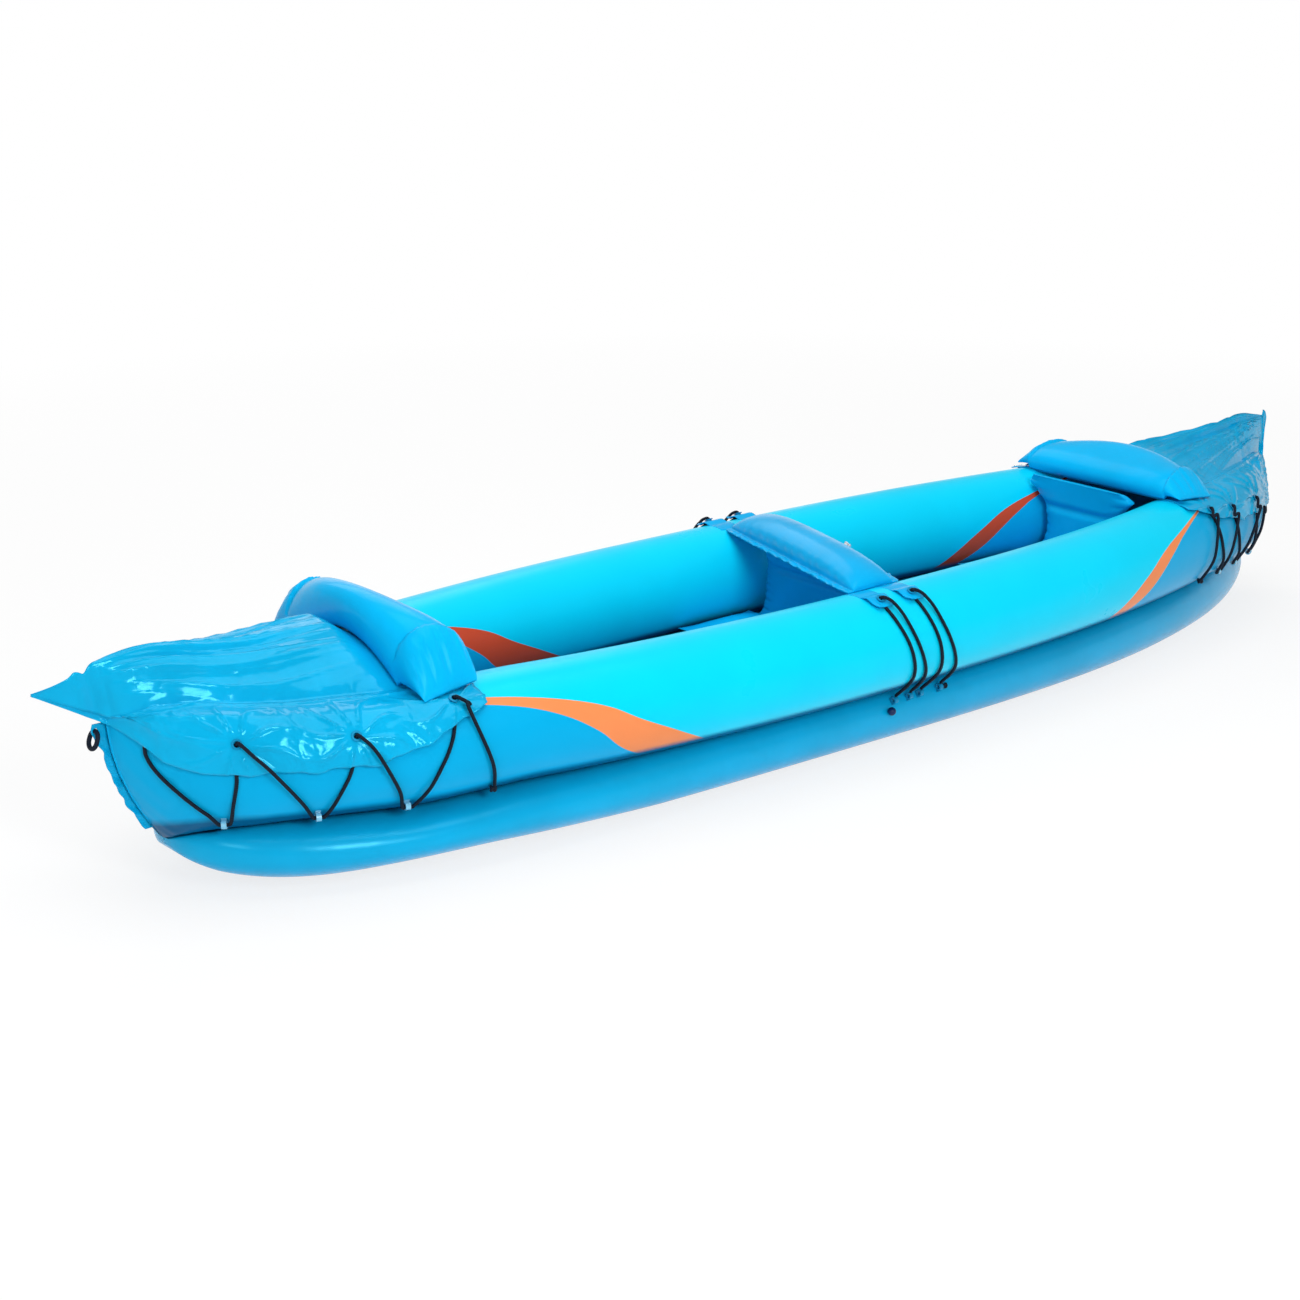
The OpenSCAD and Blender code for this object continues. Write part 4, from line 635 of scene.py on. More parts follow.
def deck_surface(start, reach, tip, seed, eyelets):
    """Film surface as a grid from inner edge to tip and from port hem over the ridge to starboard hem. The
    skirt follows the tube at a distance, the span is a parabola, and past the stem all shrinks to the tip."""
    x = mix(start, reach, np.linspace(0, 1, deck_rows) ** 0.9)[:, None]
    a = np.clip(deck_along(x), 0, 1)
    k = np.linspace(0, 1, skirt_cols)[None, :]
    along = np.abs(x)
    ripple = 1.3 * np.sin(along * 62 + seed) + 0.7 * np.sin(along * 131 + 2 * seed)
    loose = ease(a / 0.1) * ease((1.0 - a) / 0.08)
    hem = hem_angle(x) + ripple * loose * (1 - 0.5 * ease((a - 0.7) / 0.2))
    nose = np.where(x > 0, bow_nose, stern_nose) * ease((a - 0.74) / 0.24)
    halves = []
    for side in (1, -1):
        angle = mix(hem, shoulder_angle, k)
        arc = angle * skirt_degree
        free = ease((86 - angle) / 22) * loose
        folds = hanging_folds(along, arc, seed + side)
        slack = hanging_depth * folds * free + 0.0005 * crinkle(along * 62, arc * 62, seed + side) * free
        flutter = 0.5 + 0.5 * np.sin(along * 70 + seed + side)
        slack = slack + hem_wave * 0.6 * ease((34 - angle) / 30) * flutter * loose
        weld = np.exp(-(((angle - deck_weld_angle) / 2.4) ** 2))
        bead = deck_weld_height + 0.0008 * np.sin(along * 330 + 3 * np.sin(along * 90))
        slack = slack + bead * weld * loose
        for place, at in eyelets:
            dx, dy = along - place, (angle - at) * skirt_degree
            far = np.hypot(dx, dy)
            rays = ridge(2.5 * np.arctan2(dx, dy) / np.pi * 2 + 0.3 * np.sin(35 * far + seed)) ** 4
            slack = mix(ray_depth * rays * ease((far - 0.011) / 0.02), slack, ease((far - 0.045) / 0.08))
        dx, dy = along - np.abs(reach), (angle - deck_weld_angle) * skirt_degree
        far = np.hypot(dx, dy)
        fan = ridge(7 * np.arctan2(dy, dx) / np.pi + 0.35 * np.sin(28 * far + seed)) ** 3
        spread = stem_fan_depth * fan * ease((far - 0.02) / 0.04) * ease((0.2 - far) / 0.09)
        slack = slack + spread * ease((angle - hem) / 12)
        points = skirt_pt(x, angle, slack)
        points[..., 1] += nose * ease((angle - hem - 8) / 40)
        points[..., 1] *= side
        halves.append(points)
    v = np.linspace(1, -1, span_cols)[None, 1:-1]
    edge = skirt_pt(x, shoulder_angle)
    edge[..., 1] += nose * ease((shoulder_angle - hem - 8) / 40)
    tight = ease((a - 0.2) / 0.2) * ease((1.04 - a) / 0.2) * (1 - v**6)
    fan = v * (1 + 0.25 * np.sin(3 * a + seed)) + 0.03 * np.sin(6 * a + 4 * v + seed)
    long_folds = long_depth * (ridge(3.5 * fan + 0.4) ** 3 - 0.25)
    fine_folds = fine_depth * (ridge(8 * fan + 0.2 * seed + 0.8 * a) ** 4 - 0.3)
    folds = (long_folds + fine_folds) * np.where(x < 0, stern_folds, 1)
    folds = folds + 0.0007 * crinkle(along * 18, v * 7, seed + 7)
    swell = swell_height * ease((a - 0.55) / 0.35) * (1 - v**4)
    drawn_up = np.where(x > 0, bow_draw, stern_draw) * ease((a - 0.195) / 0.1)
    drawn_up = drawn_up * ease((0.8 - a) / 0.5) * (1 - v * v)
    span = leaned(x, v * edge[..., 1], deck_span_z(x, v) + folds * tight + swell + drawn_up)
    grid = np.concatenate([halves[0], span, halves[1][:, ::-1]], axis=1)
    root = grid[-1:]
    t = np.linspace(0, 1, beak_rows + 1)[1:, None]
    end_x, end_z = tip
    upper = ease((root[..., 2] - 0.34) / 0.06)
    valley = np.exp(-(((t - 0.15) / 0.06) ** 2))
    crest = np.exp(-(((t - 0.31) / 0.06) ** 2))
    gather = 1 - np.where(x[0] > 0, 0.45, 0.1) * ease(t / 0.16) + 0.14 * crest - 0.08 * valley
    pleat = (np.where(x[0] > 0, -0.006, 0.012) * np.sin(np.pi * t) - 0.008 * valley + 0.004 * crest) * upper
    beak = np.stack(
        [
            mix(root[..., 0], end_x, t),
            root[..., 1] * (1 - 0.95 * t) * gather,
            mix(root[..., 2], end_z + 0.04 * (root[..., 2] - end_z), t) + pleat,
        ],
        axis=-1,
    )
    return np.concatenate([grid, beak], axis=0)


def put_film(name, inner, depth, material, body):
    """Closed film between a grid and the same grid moved out along its normals by a depth."""
    rows, cols = inner.shape[:2]
    outer = inner + normals_of(inner) * depth
    count = rows * cols
    low = grid_quads(rows, cols, False)
    rim = np.concatenate([
        np.arange(cols), np.arange(1, rows) * cols + cols - 1,
        (rows - 1) * cols + np.arange(cols - 2, -1, -1), np.arange(rows - 2, 0, -1) * cols,
    ])
    ahead = np.roll(rim, -1)
    wall = np.stack([rim, rim + count, ahead + count, ahead], axis=1)
    faces = np.concatenate([low[:, ::-1], low + count, wall])
    points = np.concatenate([inner.reshape(-1, 3), outer.reshape(-1, 3)])
    return put_mesh(name, points, faces, material, body)


deck_film = film_material(
    "deck_film", deck_blue, 0.04, cloud=0.2, bump=0.0006, shine=0.38, crease=(21, 0.0028)
)
for name, way, start, reach, tip, eyelets, seed, cut, cut_area in (
    ("bow_deck", 1, bow_deck_start, bow_reach, bow_tip, bow_eyelets, 3, (0.92, 0.76), 0.47),
    ("stern_deck", -1, stern_deck_start, stern_reach, stern_tip, stern_eyelets, 5, (0.84, 0.66), 0.36),
):
    grid = deck_surface(way * start, way * reach, tip, seed, eyelets)
    film = put_film(name + "_film", grid[::-way, ::-1], deck_film_depth, deck_film, "hull")
    holes = []
    for place, at in eyelets:
        hole = skirt_pt(np.float64(way * place), at, deck_film_depth)
        out = outward(skirt_pt, way * place, at)
        holes += [(hole * (1, side, 1), out * (1, side, 1)) for side in (1, -1)]
    drill(film, holes, eyelet_barrel + eyelet_gap, eyelet_hole_depth)
    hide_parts(name)

# Stem flanges: the tube ends close in an upright weld of doubled film, pierced for the grab loop. The weld
# shrinks the film, so its free edge is scalloped and crumpled.
flange_inset, flange_narrow, flange_proud, flange_depth = 0.034, 0.013, 0.026, 0.002
grab_bore, grab_bore_depth, grab_margin = 0.0046, 0.02, 0.008
flange_rows, flange_cols = 120, 36


def flange_surface(reach, drop, seed):
    """Upright film along the leaning stem line, flat between the tubes and thrown into waves past them. It is
    narrow but for an ear round the grab loop's hole."""
    z = np.linspace(tube_top(reach) - 0.012, tube_bottom(reach) + 0.022, flange_rows)[:, None]
    ear = np.exp(-(((z - tube_top(reach) + drop) / 0.022) ** 2))
    widest = flange_narrow + (flange_proud - flange_narrow) * ear
    w = mix(-flange_inset, widest, np.linspace(0, 1, flange_cols)[None, :])
    free = ease(w / flange_narrow)
    edge = 0.0012 * np.sin(150 * z + seed) + 0.0008 * np.sin(263 * z)
    x = leaned(reach, 0, z)[..., 0] + np.sign(reach) * (w + edge * free)
    wave = 0.55 * np.sin(118 * z + seed + 20 * w) + 0.45 * np.sin(211 * z - 35 * w)
    y = -flange_depth / 2 + 0.004 * wave * free * (1 - 0.8 * ear)
    return as_points(x, y, z)


stem_film = film_material(
    "stem_film", end_blue, 0.12, cloud=0.2, bump=0.0006, shine=0.3, crease=(30, 0.002)
)
for name, reach, drop, seed in (("bow", bow_reach, 0.024, 1), ("stern", -stern_reach, 0.07, 4)):
    reach = np.float64(reach)
    way = int(np.sign(reach))
    grid = flange_surface(reach, drop, seed)[:, ::way]
    flange = put_film(f"{name}_stem_film", grid, flange_depth, stem_film, "hull")
    hole = leaned(reach, 0, tube_top(reach) - drop) + np.array([way * (flange_proud - grab_margin), 0, 0])
    drill(flange, [(hole, (0, 1, 0))], grab_bore, grab_bore_depth)
    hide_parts(f"{name}_stem_flange")

# Rolls: inflated bolsters on the inner edge of each deck. They are full in the middle, and their ends are
# drawn flat and welded over the tubes, where the film puckers.
roll_blue = (0.002, 0.49, 0.92)
roll_half_run, roll_tab, roll_eyelet_margin = 0.068, 0.005, 0.011
bow_roll_place, stern_roll_place = 0.975, -1.055
bow_roll_height, stern_roll_height = 0.092, 0.042
roll_rows, roll_cols = 160, 96


def roll_half(x, angle):
    """Half length of a roll, which ends a margin short of an eyelet."""
    return float(skirt_pt(np.float64(x), angle)[1]) - roll_eyelet_margin


def deck_over(x, y):
    """Height of the deck's outer face: the span's parabola, then the skirt's ellipse over the tube."""
    edge = skirt_pt(x, shoulder_angle, deck_film_depth)
    v = np.abs(y) / edge[..., 1]
    out = skirt_off(56) + deck_film_depth
    side = np.clip((np.abs(y) - tube_y(x)) / (tube_a(x) + out), -1, 1)
    over = edge[..., 2] + deck_rise(x) * (1 - v * v)
    beside = np.maximum(tube_z(x) + (tube_b(x) + out) * np.sqrt(1 - side * side), edge[..., 2] - 0.07)
    return np.where(v < 1, over, beside)


def roll_seat(place):
    """Clearance of a roll over its deck, by the end that it lies at."""
    return 0.0026 if place < 0 else 0.00335


def roll_surface(place, half, height, body, ends):
    """Sections across the hull: a flattened ring that lies on the deck, with a puff that falls as one less
    the fifth power towards the ends. It is fuller between the middle and the ends, and puckers run in from
    the weld there."""
    s = np.sin(np.linspace(np.pi / 2, -np.pi / 2, roll_rows))[:, None]
    t = np.linspace(0, 2 * np.pi, roll_cols, endpoint=False)[None, :]
    puff = np.maximum(0, 1 - np.abs(s) ** 5) ** 0.6
    x = place + mix(0.8, 1, puff) * roll_half_run * np.cos(t)
    low = -0.45
    fuller = (body + ends * s * s) * ease((1 - np.abs(s)) / 0.25)
    rise = (mix(roll_tab, height, puff) + fuller) * np.maximum((np.sin(t) - low) / (1 - low), 0)
    drawn = ease((np.abs(s) - 0.72) / 0.26)
    rise = rise * (1 - 0.1 * drawn * (1 + crinkle(13 * np.cos(t) + 3 * s, 4 * s, 21)))
    y = s * half + 0 * t
    return np.stack([x, y, deck_over(x, y) + 0.3 * roll_seat(place) + rise], axis=-1)


stem_well, stem_well_depth = 0.0123, 0.003
roll_film = film_material(
    "roll_film", roll_blue, 0.16, cloud=0.14, bump=0.0008, shine=0.12, crease=(11, 0.0006)
)
for name, place, half, height, body, ends in (
    ("bow_roll", bow_roll_place, roll_half(*bow_eyelets[2]), bow_roll_height, 0, 0.034),
    ("stern_roll", stern_roll_place, roll_half(*stern_eyelets[0]), stern_roll_height, 0.014, 0.006),
):
    sections = roll_surface(place, half, height, body, ends)[::-1]
    roll = put_tube(name + "_skin", sections, roll_film, "hull")
    valve_x = place - roll_half_run * np.cos(np.radians(10))
    valve_z = float(deck_over(np.float64(valve_x), 0.0)) + roll_seat(place) + height * 0.49
    drill(roll, [(np.array([valve_x, 0, valve_z]), (-0.985, 0, 0.174))], stem_well, stem_well_depth)
    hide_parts(name)

# Eyelets and loops: moulded rings in the skirts and flaps, and clear tabs welded to the tubes and to the
# bottom chamber's shoulder, through which the cords run.
clear_blue, eyelet_blue, plain_glint = (0.2, 0.56, 0.78), (0.006, 0.26, 0.5), (1, 1, 1, 1)
clear_plastic = film_material(
    "clear_plastic", clear_blue, 0.12, cloud=0.1, bump=0.00005, shine=0.5, glint=plain_glint
)
eyelet_plastic = film_material("eyelet_plastic", eyelet_blue, 0.2, cloud=0.1, bump=0.00005, shine=0.3)
dress(clear_plastic, "bow_lacing_loops", "stern_lacing_loops")
dress(eyelet_plastic, "bow_deck_eyelets", "stern_deck_eyelets", "thwart_eyelets", "thwart_tie_loops")

# Lacing: one black braided cord a side at each end, zigzag between the loops and the skirt's eyelets. It
# comes up behind the hem, out through an eyelet and down over the skirt, and ends in a knot.
cord_dark, cord_pale = (0.001, 0.003, 0.008), (0.005, 0.014, 0.034)
cord_radius, cord_rest, path_steps = 0.0033, 0.00385, 8
# Length of cord over one unit of its UV, the braid's waves over a unit each way, and its depth
uv_length, braid_run, braid_turn, braid_depth = 0.02, 18, 18.85, 0.0006
knot_size, loop_stand, seat_gap = 0.015, 0.009, 0.0003
# Angles below zero lie on the tube, others on the bottom chamber's shoulder
bow_lacing_angle, stern_lacing_angle = -48, -42
bow_loops = [deck_place(1, part) for part in (0.777, 0.517, 0.254)]
stern_loops = [deck_place(-1, part) for part in (0.53, 0.36, 0.21)]
bow_knot, bow_lace_start = deck_place(1, -0.015), deck_place(1, 0.94)
stern_knot, stern_lace_start = deck_place(-1, 0.06), deck_place(-1, 0.69)
over_skirt = deck_film_depth + cord_radius + 0.0016


def shoulder_pt(x, angle, off=0.0):
    """Point of the bottom chamber's port shoulder at an angle above its side."""
    t = np.radians(angle)
    flat = floor_flat(x)
    y = flat + (floor_width(x) - flat + off) * np.cos(t)
    z = edge_mid(x) + (edge_half(x) + off) * np.sin(t)
    return as_points(x, y, z)


def unit(v):
    """Vector of length 1 along v."""
    return v / np.linalg.norm(v)


def loop_seat(x, angle, off=0.0):
    """Foot of a loop, on the tube below its side or on the bottom chamber's shoulder."""
    return tube_pt(np.float64(x), angle, off) if angle < 0 else shoulder_pt(np.float64(x), angle, off)


def loop_along(x, angle):
    """Direction along the hull at a loop's foot, between two points near it."""
    return unit(loop_seat(x + 0.005, angle) - loop_seat(x - 0.005, angle))


def loop_hole(x, angle):
    """Middle of a loop's bore, off its foot along the normal."""
    across = loop_seat(x, angle - 4) - loop_seat(x, angle + 4)
    return loop_seat(x, angle) + loop_stand * unit(np.cross(loop_along(x, angle), across))


def on_skin(x, angle, off):
    """Point of the port tube at one place, off its skin by a distance."""
    return tube_pt(np.float64(x), angle, off)


def on_skirt(x, angle, off):
    """Point of the skirt at one place, off it by a distance."""
    return skirt_pt(np.float64(x), angle, off)


def through_eyelet(way, e, before, after):
    """Up behind the hem, out of the eyelet and away down over the skirt."""
    x, back, on = way * e[0], way * np.sign(before - e[0]), way * np.sign(after - e[0])
    return [
        on_skin(x + back * 0.007, e[1] - 10, cord_rest),
        on_skirt(x, e[1] - 1.1, -0.005),
        on_skirt(x, e[1], over_skirt - 0.001),
        on_skirt(x + on * 0.006, e[1] - 4, over_skirt + 0.0014),
        on_skirt(x + on * 0.016, e[1] - 10, over_skirt),
    ]


def through_loop(way, x, angle):
    """Along a loop's bore, with both ends turned up the tube."""
    along = loop_along(way * x, angle) * way
    rise = unit(loop_seat(way * x, angle + 4) - loop_seat(way * x, angle - 4))
    hole = loop_hole(way * x, angle)
    return [hole + along * d + rise * max(0, abs(d) - 0.007) for d in (0.011, 0.0045, -0.0045, -0.011)]


def leg_down(way, e, x, low):
    """From an eyelet's outside down to a loop, over the hem."""
    at_hem = min(e[1] - 12, float(hem_angle(way * mix(e[0], x, 0.4))) + 3)
    part = (e[1] - at_hem) / (e[1] - low)
    return [
        on_skirt(way * mix(e[0], x, part), at_hem, over_skirt + hem_wave),
        on_skin(way * mix(e[0], x, mix(part, 1, 0.55)), mix(at_hem, low, 0.55), cord_rest + 0.006),
    ]


def leg_up(way, x, e, low):
    """From a loop up to the inside of an eyelet, behind the hem."""
    return [
        on_skin(way * mix(x, e[0], 0.3), mix(low, e[1] - 10, 0.3), cord_rest + 0.004),
        on_skin(way * mix(x, e[0], 0.7), mix(low, e[1] - 10, 0.7), cord_rest),
    ]


def knot_place(x, angle):
    """Middle of a knot that rests on the skin, off it by half its size and a gap."""
    return loop_seat(x, angle, knot_size / 2 + seat_gap)


def lace_keys(way, start, loops, eyelets, knot, angle):
    """Key points of a lacing from the tip to its knot, by way of each loop and eyelet in turn."""
    keys = [on_skin(way * mix(loops[0], start, part), at, cord_rest) for part, at in ((0.97, 36), (1, 22))]
    for part in (0.9, 0.62, 0.32):
        sagged = mix(angle, 13, part) - 7 * np.sin(np.pi * part)
        keys.append(on_skin(way * mix(loops[0], start, part), sagged, cord_rest + 0.004 * (1 - part)))
    for i, e in enumerate(eyelets):
        after = loops[i + 1] if i < 2 else knot
        keys += through_loop(way, loops[i], angle) + leg_up(way, loops[i], e, angle)
        keys += through_eyelet(way, e, loops[i], after) + leg_down(way, e, after, angle)
    end = knot_place(way * knot, angle) + np.array([0, 0.62, 0.78]) * (knot_size / 2 + 0.0015)
    return np.array(keys + [end])


def spline(keys, steps):
    """Smooth curve through key points: a cubic of four neighbours on each stretch."""
    k = np.concatenate([keys[:1], keys, keys[-1:]])
    p0, p1, p2, p3 = (k[i : len(k) - 3 + i, None] for i in range(4))
    t = (np.arange(steps) / steps)[None, :, None]
    square = 2 * p0 - 5 * p1 + 4 * p2 - p3
    cube = 3 * p1 - p0 - 3 * p2 + p3
    curve = 0.5 * (2 * p1 + (p2 - p0) * t + square * t**2 + cube * t**3)
    return np.concatenate([curve.reshape(-1, 3), keys[-1:]])


def kept_off_tube(path):
    """Moves a path's points out to a cord's rest on the port tube, along the line from the tube's middle."""
    x = 2 * path[:, 0] - leaned(path[:, 0], path[:, 1], path[:, 2])[:, 0]
    y = (path[:, 1] - tube_y(x)) / (tube_a(x) + cord_rest)
    z = (path[:, 2] - tube_z(x)) / (tube_b(x) + cord_rest)
    k = np.maximum(1, 1 / np.hypot(y, z))
    return np.stack([path[:, 0], mix(tube_y(x), path[:, 1], k), mix(tube_z(x), path[:, 2], k)], axis=1)


def swept(path, radius, sides=10):
    """Round sections carried along a path, turned as little as possible from one to the next, with a UV
    of length along the path and share of the turn."""
    way = np.gradient(path, axis=0)
    way = way / np.linalg.norm(way, axis=1, keepdims=True)
    side = np.zeros_like(way)
    last = np.cross(way[0], (0, 0, 1) if abs(way[0, 2]) < 0.8 else (1, 0, 0))
    for i, w in enumerate(way):
        last = unit(last - w * (last @ w))
        side[i] = last
    t = np.linspace(0, 2 * np.pi, sides, endpoint=False)[None, :, None]
    radius = np.broadcast_to(radius, len(path))[:, None, None]
    rings = path[:, None] + radius * (np.cos(t) * side[:, None] + np.sin(t) * np.cross(way, side)[:, None])
    run = np.concatenate([[0], np.cumsum(np.linalg.norm(np.diff(path, axis=0), axis=1))])
    turn = np.linspace(0, 1, sides + 1)
    uv = as_points(run[:, None] / uv_length, turn[None, :])
    return rings, uv


def braided_cord():
    """Blue-black cord: two crossing diagonal waves of the UV raise its braid, and its crests are paler."""
    material, tree, shader = new_material("braided_cord")
    along, around = skin_parts(tree)
    run = calc(tree, "MULTIPLY", along, braid_run)
    twists = [calc(tree, "MULTIPLY_ADD", around, turn, run) for turn in (braid_turn, -braid_turn)]
    braid = calc(tree, "MULTIPLY", *(calc(tree, "SINE", twist) for twist in twists))
    raised = add_node(tree, "ShaderNodeBump", {"Distance": braid_depth, "Height": braid}).outputs["Normal"]
    crest = add_node(tree, "ShaderNodeMapRange", {"Value": braid, "From Min": -1}).outputs["Result"]
    tint = painted_over(tree, crest, cord_dark, cord_pale)
    wire(tree, shader, {"Base Color": tint, "Roughness": 0.65, "Specular IOR Level": 0.2, "Normal": raised})
    return material


cord_black = braided_cord()


def put_cord(name, path, body, radius=cord_radius, sides=10):
    """Cord along a path, flat at both ends."""
    rings, uv = swept(path, radius, sides)
    return put_tube(name, rings[::-1], cord_black, body, uv[::-1])


for name, way, start, loops, eyelets, knot, angle in (
    ("bow", 1, bow_lace_start, bow_loops, bow_eyelets, bow_knot, bow_lacing_angle),
    ("stern", -1, stern_lace_start, stern_loops, stern_eyelets[::-1], stern_knot, stern_lacing_angle),
):
    path = kept_off_tube(spline(lace_keys(way, start, loops, eyelets, knot, angle), path_steps))
    for side, turn in (("port", 1), ("starboard", -1)):
        lace = put_cord(f"{name}_{side}_lacing_cord", path * (1, turn, 1), "hull")
        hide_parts(f"{name}_{side}_lacing")


def knot_path(size, count=90):
    """Overhand knot as a trefoil: a ring of two turns whose radius and height wave three times."""
    t = np.linspace(0.35, 2 * np.pi - 0.35, count)
    bulge = np.stack([np.sin(t) + 2 * np.sin(2 * t), np.cos(t) - 2 * np.cos(2 * t), -np.sin(3 * t)], axis=1)
    return bulge / np.array([3, 3, 1.6]) * size


def put_knots(name, places, node):
    """One piece of several small knots, each at its place."""
    rings = swept(knot_path(knot_size / 2 - cord_radius * 0.8), cord_radius * 0.85, 8)[0]
    rows, cols = rings.shape[:2]
    points = np.concatenate([rings.reshape(-1, 3) + place for place in places])
    quads = grid_quads(rows, cols, True)[:, ::-1]
    first = np.arange(cols)
    caps = [first.tolist(), (first[::-1] + (rows - 1) * cols).tolist()]
    faces = []
    for i in range(len(places)):
        shift = i * rows * cols
        faces += (quads + shift).tolist() + [[c + shift for c in cap[::-1]] for cap in caps]
    piece = put_mesh(name, points, faces, cord_black, "hull")
    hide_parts(node)


lacing_ends = ((bow_knot, bow_lacing_angle), (-stern_knot, stern_lacing_angle))
put_knots(
    "lacing_end_knots",
    [knot_place(x, at) * (1, side, 1) for x, at in lacing_ends for side in (1, -1)],
    "lacing_knots",
)

# Grab loops: closed loops of black cord at the stems, to carry and moor the kayak by. Each hangs from the
# hole in its stem flange and swings on it.
dress(cord_black, "bow_grab_loop", "stern_grab_loop")

# Thwart pad: a crescent cushion of welded film that lies across both tubes. Its top is full, its edges are
# drawn in by the weld, and two flat flaps at each end are pierced for the ties.
pad_blue = (0.002, 0.44, 0.85)
thwart_place, thwart_half_run, thwart_half_span = -0.1, 0.06, 0.256
thwart_crown, thwart_border, thwart_skew = 0.048, 0.016, 0.27
thwart_rows, arch_cols, border_cols, base_cols = 120, 60, 6, 14
flap_width, flap_length, flap_film = 0.05, 0.09, 0.002
flap_rows, flap_cols = 24, 40
thwart_lean = (thwart_half_span - float(tube_y(thwart_place))) / float(tube_a(thwart_place))
thwart_base = float(tube_z(thwart_place) + tube_b(thwart_place) * np.sqrt(1 - thwart_lean**2)) + 0.0006


def thwart_surface():
    """Sections across the hull: a crowned arch between two flat welded borders over a flat base, narrower and
    lower towards both ends. The weld presses short wrinkles into the arch and waves into the borders."""
    s = np.sin(np.linspace(np.pi / 2, -np.pi / 2, thwart_rows))[:, None]
    half = thwart_half_run * mix(0.88, 1, np.sqrt(np.maximum(0, 1 - np.abs(s) ** 6)))
    crown = 0.006 + (thwart_crown - 0.006) * np.sqrt(np.maximum(0, 1 - np.abs(s) ** 3))
    t = np.linspace(0, np.pi, arch_cols)[None, :]
    beat = np.sin(46 * s + 1.2 * np.sin(17 * s)) * (1 - s**6)
    pinch = np.exp(-(((np.sin(t) - 0.3) / 0.26) ** 2)) * beat
    top_x = half * (np.cos(t) - 0.02 * pinch * np.sign(np.cos(t)))
    top_z = 0.003 + (crown - 0.003) * np.sin(t) ** 0.8 * (1 + 0.09 * pinch)
    edge = np.linspace(1, 0, border_cols)[None, :-1]
    flutter = 0.0022 * (1 + np.sin(61 * s + 2 * np.sin(23 * s))) * (1 - s**4)
    fore_x = half + (thwart_border + 0.004 * beat) * edge
    fore_z = 0.0026 + flutter * np.sin(np.pi * edge * 0.75)
    base_x = (half + thwart_border) * np.linspace(-0.99, 0.99, base_cols)[None, :]
    base_z = np.full((thwart_rows, base_cols), 0.0004)
    across = thwart_place + thwart_skew * thwart_half_span * s
    x = across + np.concatenate([fore_x, top_x, -fore_x[:, ::-1], base_x], axis=1)
    z = thwart_base + np.concatenate([fore_z, top_z, fore_z[:, ::-1], base_z], axis=1)
    return as_points(x, s * thwart_half_span, z)


pad_film = film_material(
    "pad_film", pad_blue, 0.16, cloud=0.15, bump=0.0008, shine=0.13, crease=(14, 0.001)
)
thwart = put_tube("thwart_pad_skin", thwart_surface()[::-1], pad_film, "hull")
valve_x = thwart_place + thwart_skew * 0.06 - thwart_half_run * np.cos(np.radians(20))
thwart_valve = (valve_x, 0.06, thwart_base + 0.003 + (thwart_crown - 0.003) * 0.42)
drill(thwart, [(np.array(thwart_valve), (-0.88, 0, 0.47))], stem_well, stem_well_depth)
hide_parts("thwart_pad")
flap_offsets, flap_to, flap_hole_angle = (0.054, -0.03), 56, 66
flap_root = (thwart_half_span + 0.003 - tube_y(thwart_place)) / tube_a(thwart_place)
flap_from = float(np.degrees(np.arccos(flap_root)))


def flap_off(angle):
    """Distance of a flap from the tube: a smooth step from its root up towards its free end."""
    return 0.0007 + 0.008 * ease((84 - angle) / 12)


def flap_surface(x, curl):
    """Flap on the tube's shoulder: it lifts off towards its free end, which narrows and curls at a corner."""
    i = np.linspace(-0.5, 0.5, flap_rows)[:, None]
    angle = np.linspace(flap_from, flap_to, flap_cols)[None, :]
    width = flap_width * (1 - 0.3 * ease((66 - angle) / 14))
    lift = 0.0012 * np.sin(19 * i + 0.12 * angle) * ease((80 - angle) / 20)
    far = np.hypot(i * flap_width / 0.02, (angle - flap_hole_angle) / 11)
    lift = lift * ease((far - 0.6) / 0.6) + curl * ease((62 - angle) / 6) * ease((i - 0.1) / 0.4)
    return tube_pt(x + i * width, angle, flap_off(angle) + lift)


def flap_hole(x):
    """Place and direction of the hole in a flap on the port tube."""
    lean = np.radians(flap_hole_angle - 6)
    at = on_skin(x, flap_hole_angle, float(flap_off(flap_hole_angle)) + flap_film)
    return at, np.array([0, np.cos(lean), np.sin(lean)])


flap_places = {}
for side, turn in (("port", 1), ("starboard", -1)):
    for label, f, curl in (("fore", flap_offsets[0], 0.002), ("aft", flap_offsets[1], 0.005)):
        place = thwart_place + turn * thwart_skew * thwart_half_span + f
        flap_places[side, label] = place
        grid = flap_surface(place, curl) * (1, turn, 1)
        name = f"thwart_{side}_{label}_flap"
        flap = put_film(name, grid[::-turn], flap_film, pad_film, "hull")
        hole = [part * (1, turn, 1) for part in flap_hole(place)]
        drill(flap, [hole], eyelet_barrel + eyelet_gap, eyelet_hole_depth)
        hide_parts(f"thwart_{side}_flaps")

# Thwart ties: two cords a side. Each runs from a loop up through a flap's eyelet and back down to the next
# loop; a moulded ball stops one end and a knot the other.
ball_navy = (0.004, 0.02, 0.09)
tie_angle, tie_tail, tie_loops = 36, 0.014, (-0.04, -0.082, -0.112, -0.168)
over_flap = flap_film + cord_radius + 0.0014


